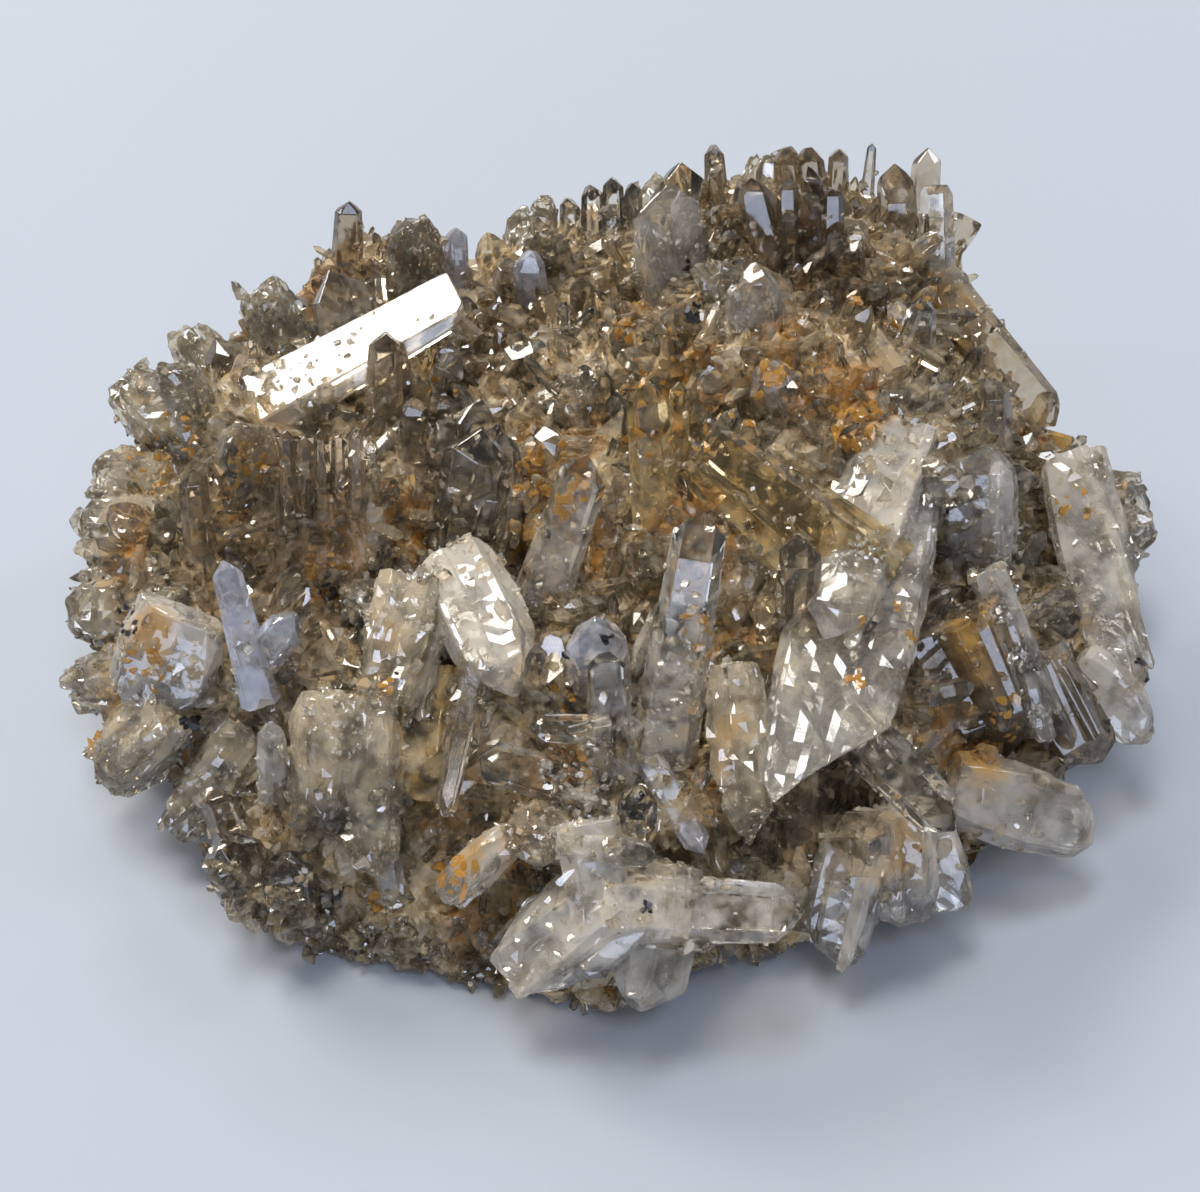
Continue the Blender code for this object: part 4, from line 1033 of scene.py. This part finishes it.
@dataclass(frozen=True)
class Druse:
    """Small crystals all over a carrier, grown by Geometry Nodes at about right angles to it."""

    name: str
    finish: Finish
    mould: Mould
    spacing: float  # least distance between two crystals
    widths: tuple  # from the smallest to the largest
    slender: tuple  # length over width, least and most
    tilt: float  # how far they lean away from the surface's normal
    seed: int
    mask: str = "grow"  # the mask of the ground that says where
    share: float = 1.0  # how much of that they take
    patchy: float = 0.0  # from 0, even, to 1, in patches with bare ground between
    patch_size: float = 7.0
    shapes: int = 6
    floor: float = 0.25  # lowest point that they reach

    def moulds(self, shaper: Shaper) -> bpy.types.Collection:
        """The shapes that are repeated: crystals one unit wide, in a collection of their own."""
        store = bpy.data.collections.new(f"{self.name}_moulds")
        rng = random.Random(self.seed)
        for i in range(self.shapes):
            name = f"{self.name}_mould_{i}"
            if self.mould is CHUNK:
                block = shaper.chunk(name)
                foot, top = -0.4, 0.5
            else:
                end = (POINT, SLANT, POINT, BLUNT)[i % 4]
                block = shaper.block(name, 2.6, 1.0, rng.uniform(0.5, 1.0), end)
                bmesh.ops.translate(block, vec=(0, 0, -1.0), verts=block.verts)
                foot, top = -0.3, 1.6
            bmesh.ops.triangulate(block, faces=block.faces[:])
            layers = {n: block.verts.layers.float.new(n) for n in ("rise", "growth")}
            for vert in block.verts:
                vert[layers["rise"]] = smooth(vert.co.z, foot, top)
                vert[layers["growth"]] = 4 * i + 2 * vert.co.z
            data = bpy.data.meshes.new(name)
            block.to_mesh(data)
            block.free()
            store.objects.link(bpy.data.objects.new(name, data))
        return store

    @staticmethod
    def tree() -> bpy.types.NodeTree:
        """The Geometry Nodes tree that sows the moulds over its geometry."""
        made = bpy.data.node_groups.new("druse", "GeometryNodeTree")
        inputs = (
            ("Ground", "NodeSocketGeometry"), ("Moulds", "NodeSocketCollection"), ("Finish", "NodeSocketMaterial"),
            ("Spacing", "NodeSocketFloat"), ("Share", "NodeSocketFloat"), ("Narrowest", "NodeSocketFloat"),
            ("Widest", "NodeSocketFloat"), ("Shortest", "NodeSocketFloat"), ("Longest", "NodeSocketFloat"),
            ("Tilt", "NodeSocketFloat"), ("Floor", "NodeSocketFloat"), ("Seed", "NodeSocketInt"),
            ("Patch Size", "NodeSocketFloat"), ("Patchiness", "NodeSocketFloat"), ("Mask", "NodeSocketString"),
        )
        for name, kind in inputs:
            made.interface.new_socket(name, in_out="INPUT", socket_type=kind)
        made.interface.new_socket("Druse", in_out="OUTPUT", socket_type="NodeSocketGeometry")
        add = Graph(made).add
        given = add("NodeGroupInput").outputs
        densest = add("ShaderNodeMath", {0: given["Spacing"], 1: -2.0}, operation="POWER")
        grow = add("GeometryNodeInputNamedAttribute", {"Name": given["Mask"]}, data_type="FLOAT")
        factor = add("ShaderNodeMath", {0: grow.outputs[0], 1: given["Share"]}, operation="MULTIPLY")
        where = add("GeometryNodeInputPosition")
        scale = add("ShaderNodeMath", {0: 1.0, 1: given["Patch Size"]}, operation="DIVIDE")
        cloud = add("ShaderNodeTexNoise", {"Vector": where, "Scale": scale, "Detail": 2.0})
        gap = add("ShaderNodeMapRange", {"Value": cloud.outputs[0], "From Min": 0.56, "From Max": 0.46})
        gap = add("ShaderNodeMath", {0: gap, 1: given["Patchiness"]}, operation="MULTIPLY")
        kept = add("ShaderNodeMath", {0: 1.0, 1: gap}, operation="SUBTRACT")
        factor = add("ShaderNodeMath", {0: factor, 1: kept}, operation="MULTIPLY")
        points = add("GeometryNodeDistributePointsOnFaces", {
            "Mesh": given["Ground"], "Distance Min": given["Spacing"], "Density Max": densest,
            "Density Factor": factor, "Seed": given["Seed"],
        }, distribute_method="POISSON")
        lean = add("FunctionNodeRandomValue", {0: (-1, -1, -1), 1: (1, 1, 1), "Seed": given["Seed"]},
                   data_type="FLOAT_VECTOR")
        lean = add("ShaderNodeVectorMath", {0: lean.outputs[0], "Scale": given["Tilt"]}, operation="SCALE")
        axis = add("ShaderNodeVectorMath", {0: points.outputs["Normal"], 1: lean.outputs[0]}, operation="ADD")
        turned = add("FunctionNodeAlignRotationToVector", {"Vector": axis.outputs[0]}, axis="Z")
        angle = add("FunctionNodeRandomValue", {2: 0.0, 3: math.tau, "Seed": given["Seed"]}, data_type="FLOAT")
        spin = add("FunctionNodeAxisAngleToRotation", {"Axis": (0, 0, 1), "Angle": angle.outputs[1]})
        turned = add("FunctionNodeRotateRotation", {"Rotation": turned, "Rotate By": spin}, rotation_space="LOCAL")
        chance = add("FunctionNodeRandomValue", {2: 0.0, 3: 1.0, "Seed": 7}, data_type="FLOAT")
        skewed = add("ShaderNodeMath", {0: chance.outputs[1], 1: 2.2}, operation="POWER")
        width = add("ShaderNodeMapRange", {
            "Value": skewed, "To Min": given["Narrowest"], "To Max": given["Widest"],
        })
        slender = add("FunctionNodeRandomValue", {2: given["Shortest"], 3: given["Longest"], "Seed": 11},
                      data_type="FLOAT")
        length = add("ShaderNodeMath", {0: width, 1: slender.outputs[1]}, operation="MULTIPLY")
        size = add("ShaderNodeCombineXYZ", {0: width, 1: width, 2: length})
        moulds = add("GeometryNodeCollectionInfo", {
            "Collection": given["Moulds"], "Separate Children": True, "Reset Children": True,
        })
        grown = add("GeometryNodeInstanceOnPoints", {
            "Points": points.outputs["Points"], "Instance": moulds, "Pick Instance": True,
            "Rotation": turned, "Scale": size,
        })
        tone = add("FunctionNodeRandomValue", {2: 0.0, 3: 1.0, "Seed": 3}, data_type="FLOAT")
        toned = add("GeometryNodeStoreNamedAttribute", {
            "Geometry": grown, "Name": "tone", "Value": tone.outputs[1],
        }, data_type="FLOAT", domain="INSTANCE")
        real = add("GeometryNodeRealizeInstances", {"Geometry": toned})
        place = add("GeometryNodeInputPosition")
        parts = add("ShaderNodeSeparateXYZ", {0: place})
        lifted = add("ShaderNodeMath", {0: parts.outputs[2], 1: given["Floor"]}, operation="MAXIMUM")
        kept = add("ShaderNodeCombineXYZ", {0: parts.outputs[0], 1: parts.outputs[1], 2: lifted})
        real = add("GeometryNodeSetPosition", {"Geometry": real, "Position": kept})
        dressed = add("GeometryNodeSetMaterial", {"Geometry": real, "Material": given["Finish"]})
        add("NodeGroupOutput", {0: dressed})
        return made

    def build(self, ground: bpy.types.Object, tree: bpy.types.NodeTree, shaper: Shaper) -> bpy.types.Object:
        """Sow the druse over the ground and turn it into a plain mesh.

        Args:
            ground: The piece that it grows on, whose stain and smoke it takes over.
            tree: The tree from Druse.tree.
            shaper: What cuts its moulds.

        Returns:
            The druse as a piece of its own.
        """
        moulds = self.moulds(shaper)
        carrier = bpy.data.objects.new(f"{self.name}_carrier", ground.data)
        bpy.context.scene.collection.objects.link(carrier)
        sown = carrier.modifiers.new("druse", "NODES")
        sown.node_group = tree
        values = {
            "Moulds": moulds, "Finish": self.finish.value.material(), "Spacing": self.spacing * MM, "Share": self.share,
            "Narrowest": self.widths[0] * MM, "Widest": self.widths[1] * MM, "Shortest": self.slender[0],
            "Longest": self.slender[1], "Tilt": self.tilt, "Floor": self.floor * MM, "Seed": self.seed,
            "Patch Size": self.patch_size * MM, "Patchiness": self.patchy, "Mask": self.mask,
        }
        for socket in tree.interface.items_tree:
            if socket.name in values:
                sown[socket.identifier] = values[socket.name]
        seen = carrier.evaluated_get(bpy.context.evaluated_depsgraph_get())
        data = bpy.data.meshes.new_from_object(seen)
        data.name = self.name
        bpy.data.objects.remove(carrier)
        for mould in list(moulds.objects):
            bpy.data.objects.remove(mould)
        bpy.data.collections.remove(moulds)
        made = bpy.data.objects.new(self.name, data)
        bpy.context.scene.collection.objects.link(made)
        return made


@dataclass(frozen=True)
class Camera:
    """A camera at the photograph's viewing angle; the photograph is 1200 x 1192 pixels."""

    PHOTO = (1200, 1192)

    place: tuple = (-0.0033, -0.1575, 0.190)
    pitch: float = 48.6  # degrees below the horizon
    roll: float = -1.25
    lens: float = 55.5
    sensor: float = 36.0

    def turned(self) -> Matrix:
        """How the camera is turned."""
        tilt = Matrix.Rotation(math.radians(90 - self.pitch), 4, "X")
        return tilt @ Matrix.Rotation(math.radians(self.roll), 4, "Z")

    def sight(self, across: float, down: float) -> Vector:
        """The direction in which the camera sees a point of the photograph.

        Args:
            across: The point's distance from the photograph's left edge, in pixels.
            down: Its distance from the top edge.

        Returns:
            The direction, of length 1.
        """
        pixel = self.sensor / self.lens / self.PHOTO[0]
        way = Vector(((across - 0.5 * self.PHOTO[0]) * pixel, (0.5 * self.PHOTO[1] - down) * pixel, -1.0))
        return (self.turned().to_3x3() @ way).normalized()

    def build(self) -> None:
        """Create the camera and make it the scene's."""
        data = bpy.data.cameras.new("camera")
        data.lens = self.lens
        data.sensor_width = self.sensor
        data.clip_start = 0.01
        camera = bpy.data.objects.new("camera", data)
        camera.matrix_world = Matrix.Translation(self.place) @ self.turned()
        bpy.context.scene.collection.objects.link(camera)
        bpy.context.scene.camera = camera


@dataclass(frozen=True)
class Softbox:
    """A rectangular studio light, aimed at the cluster."""

    name: str
    place: tuple
    size: tuple
    power: float
    colour: str = "#ffffff"

    def build(self) -> None:
        """Create the light."""
        data = bpy.data.lights.new(self.name, "AREA")
        data.shape = "RECTANGLE"
        data.size, data.size_y = self.size
        data.energy = self.power
        data.color = linear(self.colour)[:3]
        light = bpy.data.objects.new(self.name, data)
        light.location = self.place
        light.rotation_euler = (Vector((0, 0, 0.03)) - light.location).to_track_quat("-Z", "Y").to_euler()
        bpy.context.scene.collection.objects.link(light)


@dataclass(frozen=True)
class Studio:
    """A plain pale floor, soft lights and a pale surrounding."""

    floor_size: float = 4.0
    boxes: tuple = (
        Softbox("window", (-1.10, 1.00, 1.30), (0.75, 0.62), 27.0, "#fff8ee"),
        Softbox("second_pane", (-0.26, 1.58, 1.23), (0.66, 0.31), 9.0, "#f4f7ff"),
        Softbox("side_strip", (-1.70, -0.10, 0.75), (0.11, 0.88), 4.0, "#f4f7ff"),
        Softbox("right_strip", (1.20, 0.66, 1.36), (0.18, 0.80), 5.0, "#eef3ff"),
        Softbox("skylight", (-0.30, 0.40, 2.10), (0.80, 0.50), 31.0, "#fffdf8"),
        Softbox("cool_pane", (0.40, -0.55, 1.60), (0.50, 0.36), 8.0, "#d6e2ff"),
        Softbox("front_pane", (-0.15, -1.55, 0.35), (1.10, 0.40), 10.0, "#d4e2ff"),
    )

    def build(self) -> None:
        """Create the floor, the lights and the surrounding."""
        mesh = bmesh.new()
        bmesh.ops.create_grid(mesh, x_segments=1, y_segments=1, size=0.5 * self.floor_size)
        data = bpy.data.meshes.new("floor")
        mesh.to_mesh(data)
        mesh.free()
        data.materials.append(self.paper())
        floor = bpy.data.objects.new("floor", data)
        bpy.context.scene.collection.objects.link(floor)
        for box in self.boxes:
            box.build()
        self.surrounding()

    @staticmethod
    def paper() -> bpy.types.Material:
        """Matte background paper: even, pale and without gloss."""
        made, graph = new_material("background_paper")
        shader = graph.add("ShaderNodeBsdfPrincipled", {"Base Color": "#9da3ab", "Roughness": 0.85})
        graph.add("ShaderNodeOutputMaterial", {"Surface": shader})
        return made

    @staticmethod
    def surrounding() -> None:
        """A pale world that is brighter behind the cluster than in front of it."""
        world = bpy.data.worlds.new("surrounding")
        bpy.context.scene.world = world
        world.use_nodes = True
        world.node_tree.nodes.clear()
        add = Graph(world.node_tree).add
        way = add("ShaderNodeTexCoord").outputs["Generated"]
        parts = add("ShaderNodeSeparateXYZ", {0: way})
        back = add("ShaderNodeMapRange", {"Value": parts.outputs[1], "From Min": -0.6, "From Max": 0.8})
        colour = add("ShaderNodeMix", {0: back, MIX_A: "#7c7468", MIX_B: "#e2e8f2"}, data_type="RGBA")
        light = add("ShaderNodeBackground", {"Color": colour, "Strength": 0.48})
        add("ShaderNodeOutputWorld", {"Surface": light})


@dataclass(frozen=True)
class Spot:
    """A round patch of the photograph with grains in it, in its pixels, and the grains' size in mm."""

    across: float
    down: float
    spread: float
    count: int
    size: float


@dataclass(frozen=True)
class Sprinkle:
    """Grains that sit on the cluster's surface where the photograph shows them."""

    name: str
    spots: tuple
    thickness: float = 0.6  # as a share of a grain's width
    sizes: tuple = (0.45, 1.0)  # the smallest and the largest, as shares of the spot's size
    floor: float = 0.3  # lowest place that a grain may have, in millimetres
    mirror: bool = False  # whether each grain has a flat face that mirrors the window to the viewer

    def build(self, pieces: list, camera: Camera, window: "Softbox", shaper: Shaper,
              finish: bpy.types.Material) -> bpy.types.Object:
        """Cast a ray from the camera for each grain and set the grain on what the ray meets.

        Args:
            pieces: What carries the grains.
            camera: Whose view the spots are given in.
            window: The light that mirror faces catch.
            shaper: What cuts the grains.
            finish: Their material.

        Returns:
            The grains as one piece.
        """
        rng = random.Random(self.name)
        eye, seen = Vector(camera.place), bpy.context.evaluated_depsgraph_get()
        joined = bmesh.new()
        for layer in MASKS:
            joined.verts.layers.float.new(layer)
        data = bpy.data.meshes.new("one_grain")
        for spot in self.spots:
            for _ in range(spot.count):
                angle, reach = rng.uniform(0, math.tau), spot.spread * rng.random() ** 0.5
                way = camera.sight(spot.across + reach * math.cos(angle), spot.down + reach * math.sin(angle))
                hits = [hit for hit in (piece.ray_cast(eye, way, depsgraph=seen) for piece in pieces) if hit[0]]
                if not hits:
                    continue
                _, place, normal, _ = min(hits, key=lambda hit: (hit[1] - eye).length)
                if place.z < self.floor * MM:
                    continue
                size = spot.size * rng.uniform(*self.sizes)
                block = shaper.chunk(f"{self.name}_{rng.random()}")
                if self.mirror:
                    normal = (Vector(window.place).normalized() - way).normalized()
                    shaper.cut(block, Vector((0, 0, 0.12)), Vector((0, 0, 1)))
                bmesh.ops.scale(block, vec=(size * MM, size * MM, self.thickness * size * MM), verts=block.verts)
                spin = Matrix.Rotation(rng.uniform(0, math.tau), 4, "Z")
                turned = normal.to_track_quat("Z", "Y").to_matrix().to_4x4() @ spin
                bmesh.ops.transform(block, matrix=Matrix.Translation(place) @ turned, verts=block.verts)
                layers = {name: block.verts.layers.float.new(name) for name in MASKS}
                for vert in block.verts:
                    vert[layers["rise"]] = 0.7
                    vert[layers["tone"]] = size % 1.0
                    vert.co.z = max(vert.co.z, self.floor * MM)
                block.to_mesh(data)
                block.free()
                joined.from_mesh(data)
        bpy.data.meshes.remove(data)
        bmesh.ops.triangulate(joined, faces=joined.faces[:])
        data = bpy.data.meshes.new(self.name)
        joined.to_mesh(data)
        joined.free()
        data.materials.append(finish)
        made = bpy.data.objects.new(self.name, data)
        bpy.context.scene.collection.objects.link(made)
        return made


def black_mineral_and_hollow_shade() -> bpy.types.Material:
    """Black iron and manganese oxide in small grains: nearly black, with a dull metallic gloss. The same black grains
    also fill the mouths of small hollows as painted shade.
    """
    made, graph = new_material("black_oxide")
    shader = graph.add("ShaderNodeBsdfPrincipled", {"Base Color": "#1b1817", "Roughness": 0.32})
    graph.add("ShaderNodeOutputMaterial", {"Surface": shader})
    return made


def main() -> None:
    """Load the frame, build the cluster's pieces in order and report each."""
    logging.basicConfig(level=logging.INFO, format="%(message)s")
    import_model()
    camera, studio = Camera(), Studio()
    camera.build()
    studio.build()
    shaper = Shaper()
    rock = Rock()
    ground = piece_from(rock.mesh(), "massive_quartz", rock.dress())
    settle(ground)
    pieces = [ground]
    everything = CRYSTALS + Sowing(rock).crystals()
    tree = Druse.tree()
    for finish in (CLEAR, SMOKY, HONEY, MILKY, PALE, LILAC, DRUSE):
        crystals = tuple(c for c in everything if c.finish is finish)
        piece = NamedCrystals(finish, crystals, shaper).build()
        settle(piece)
        pieces.append(piece)
        for crust in CRUSTS:
            crusted = replace(crust, name=f"{crust.name}_on_{finish.value.name}").build(piece, tree, shaper)
            settle(crusted)
            pieces.append(crusted)
    for druse in DRUSES:
        grown = druse.build(ground, tree, shaper)
        settle(grown)
        pieces.append(grown)
    window = studio.boxes[0]
    # The black grains are partly real oxide and partly painted shade in the mouths of small hollows.
    for sprinkle, finish in (
        (BLACK_GRAINS_AND_HOLLOW_SHADE, black_mineral_and_hollow_shade()), (STAIN_CRUST, IRON_STAIN.value.material()),
        (RIM_CRUST, DRUSE.value.material()), (SPARKLE, FROST.value.material()), (GLINTS, CLEAR_SHARD.value.material()),
    ):
        settle(sprinkle.build(pieces, camera, window, shaper, finish))
    scene = bpy.context.scene
    scene.view_settings.view_transform = "Standard"
    scene.cycles.debug_use_spatial_splits = True
    scene.cycles.transparent_max_bounces = 3
    scene.cycles.max_bounces = 4
    scene.cycles.transmission_bounces = 4
    scene.cycles.diffuse_bounces = 1
    scene.cycles.glossy_bounces = 2
    scene.cycles.light_sampling_threshold = 0.05


# The small crystals that fill the ground: larger ones far apart, then smaller ones closer together.
DRUSES = (
    Druse("beige_shards", DRUSE, PRISM, 5.0, (1.4, 3.8), (0.9, 1.6), 0.8, 21, "room"),
    Druse("clear_shards", CLEAR_SHARD, PRISM, 3.4, (1.0, 3.0), (1.0, 2.0), 0.8, 22, "room"),
    Druse("smoky_shards", SMOKY_SHARD, PRISM, 5.0, (1.3, 3.4), (0.9, 1.7), 0.8, 23, "room"),
    Druse("golden_shards", DRUSE, PRISM, 2.6, (0.9, 2.4), (1.0, 1.9), 0.8, 11, "room"),
    Druse("golden_chunks", DRUSE, CHUNK, 2.3, (1.2, 3.0), (0.8, 1.3), 2.0, 31),
    Druse("clear_chunks", CLEAR_SHARD, CHUNK, 2.3, (1.0, 2.8), (0.8, 1.3), 2.0, 32),
    Druse("golden_grains", DRUSE, PRISM, 1.7, (0.7, 1.6), (0.8, 1.7), 0.9, 12),
    Druse("frosted_grains", FROST, CHUNK, 1.1, (0.35, 1.0), (0.7, 1.3), 2.0, 13, patchy=0.7),
)

# The crust on the named crystals: small crystals of the ground that climb up their feet.
CRUSTS = (
    Druse("crust", CLEAR_SHARD, CHUNK, 1.6, (0.6, 1.7), (0.8, 1.5), 2.0, 41, share=0.7),
    Druse("frost", FROST, CHUNK, 1.0, (0.3, 0.8), (0.6, 1.2), 2.0, 42, share=0.8, patchy=1.0),
)

# Black grains of oxide, and black grains set in the mouths of small hollows as painted shade.
BLACK_GRAINS_AND_HOLLOW_SHADE = Sprinkle("black_grains", (
    Spot(128, 620, 16, 9, 0.8), Spot(95, 581, 9, 4, 0.6), Spot(327, 590, 10, 6, 0.8), Spot(1140, 662, 5, 4, 0.8),
    Spot(1145, 681, 4, 3, 0.7), Spot(1105, 727, 5, 3, 0.7), Spot(647, 907, 7, 5, 0.8), Spot(636, 806, 12, 9, 1.2),
    Spot(397, 675, 2, 1, 0.9), Spot(188, 722, 9, 8, 1.3), Spot(330, 898, 7, 8, 1.3), Spot(695, 312, 9, 8, 1.2),
    Spot(462, 1000, 8, 3, 0.7), Spot(610, 640, 5, 3, 0.9), Spot(570, 655, 4, 3, 0.8), Spot(690, 265, 8, 4, 0.8),
))

# Iron oxide as a thin yellow to orange crust.
STAIN_CRUST = Sprinkle("iron_crust", (
    Spot(857, 680, 14, 14, 0.9), Spot(897, 607, 6, 6, 0.8), Spot(862, 620, 5, 4, 0.7), Spot(912, 640, 8, 7, 0.8),
    Spot(150, 672, 26, 16, 1.1), Spot(388, 686, 8, 8, 0.9), Spot(90, 732, 13, 18, 1.2), Spot(375, 902, 11, 12, 1.1),
    Spot(457, 875, 20, 18, 1.2), Spot(252, 465, 22, 20, 1.3), Spot(552, 480, 38, 34, 1.4), Spot(625, 328, 13, 10, 1.2),
    Spot(777, 368, 15, 14, 1.3), Spot(856, 423, 24, 26, 1.5), Spot(853, 298, 7, 6, 1.0), Spot(700, 395, 75, 26, 1.1),
    Spot(180, 440, 30, 14, 1.0), Spot(602, 995, 11, 6, 0.8), Spot(150, 470, 24, 12, 0.9),
    Spot(905, 300, 40, 16, 1.0), Spot(700, 640, 30, 14, 0.9), Spot(440, 380, 22, 10, 1.0), Spot(1000, 720, 26, 12, 1.0),
    Spot(560, 700, 14, 8, 0.9), Spot(330, 560, 24, 9, 0.8), Spot(640, 450, 20, 10, 1.0), Spot(1075, 505, 20, 10, 0.9),
), thickness=0.3)

# The rough crust of the low front rim.
RIM_CRUST = Sprinkle("rim_crust", (
    Spot(215, 888, 26, 60, 1.7), Spot(262, 912, 28, 70, 1.8), Spot(315, 934, 28, 80, 1.8), Spot(370, 948, 28, 80, 1.8),
    Spot(425, 966, 28, 70, 1.8), Spot(475, 984, 26, 50, 1.6), Spot(300, 905, 36, 40, 1.5), Spot(400, 938, 36, 40, 1.5),
), thickness=0.9)

# Fine white quartz that glitters.
SPARKLE = Sprinkle("sparkling_sugar", (
    Spot(993, 527, 38, 80, 0.7), Spot(1000, 612, 13, 30, 0.6), Spot(1020, 660, 13, 30, 0.6), Spot(1040, 715, 13, 30, 0.6),
    Spot(340, 716, 42, 60, 0.7), Spot(580, 775, 40, 80, 0.8), Spot(437, 837, 8, 14, 0.6), Spot(862, 556, 26, 50, 0.6),
    Spot(400, 592, 48, 80, 0.7), Spot(690, 250, 40, 60, 0.7), Spot(735, 310, 26, 36, 0.7), Spot(250, 800, 40, 40, 0.7),
    Spot(700, 660, 34, 40, 0.7), Spot(160, 690, 44, 50, 0.7), Spot(540, 1000, 40, 40, 0.6), Spot(1120, 640, 26, 40, 0.6),
))

# Single faces that mirror the window.
GLINTS = Sprinkle("bright_faces", (
    Spot(449, 360, 0, 1, 4.2), Spot(517, 350, 0, 1, 3.4), Spot(422, 419, 0, 1, 1.0), Spot(370, 456, 0, 1, 2.2),
    Spot(790, 384, 0, 1, 1.3), Spot(856, 490, 0, 1, 3.0), Spot(836, 487, 0, 1, 1.4), Spot(852, 243, 0, 1, 3.0),
    Spot(716, 165, 0, 1, 2.2), Spot(956, 497, 0, 1, 3.6), Spot(1054, 785, 0, 1, 1.4), Spot(600, 330, 110, 14, 0.9),
    Spot(330, 500, 100, 12, 0.9), Spot(600, 760, 130, 16, 0.9), Spot(1000, 640, 90, 14, 1.0), Spot(850, 260, 90, 12, 0.9),
    Spot(250, 800, 80, 12, 1.0), Spot(560, 970, 60, 10, 0.9), Spot(130, 560, 50, 8, 0.9), Spot(700, 550, 120, 20, 0.9),
), sizes=(0.8, 1.0), mirror=True)


if __name__ == "__main__":
    main()
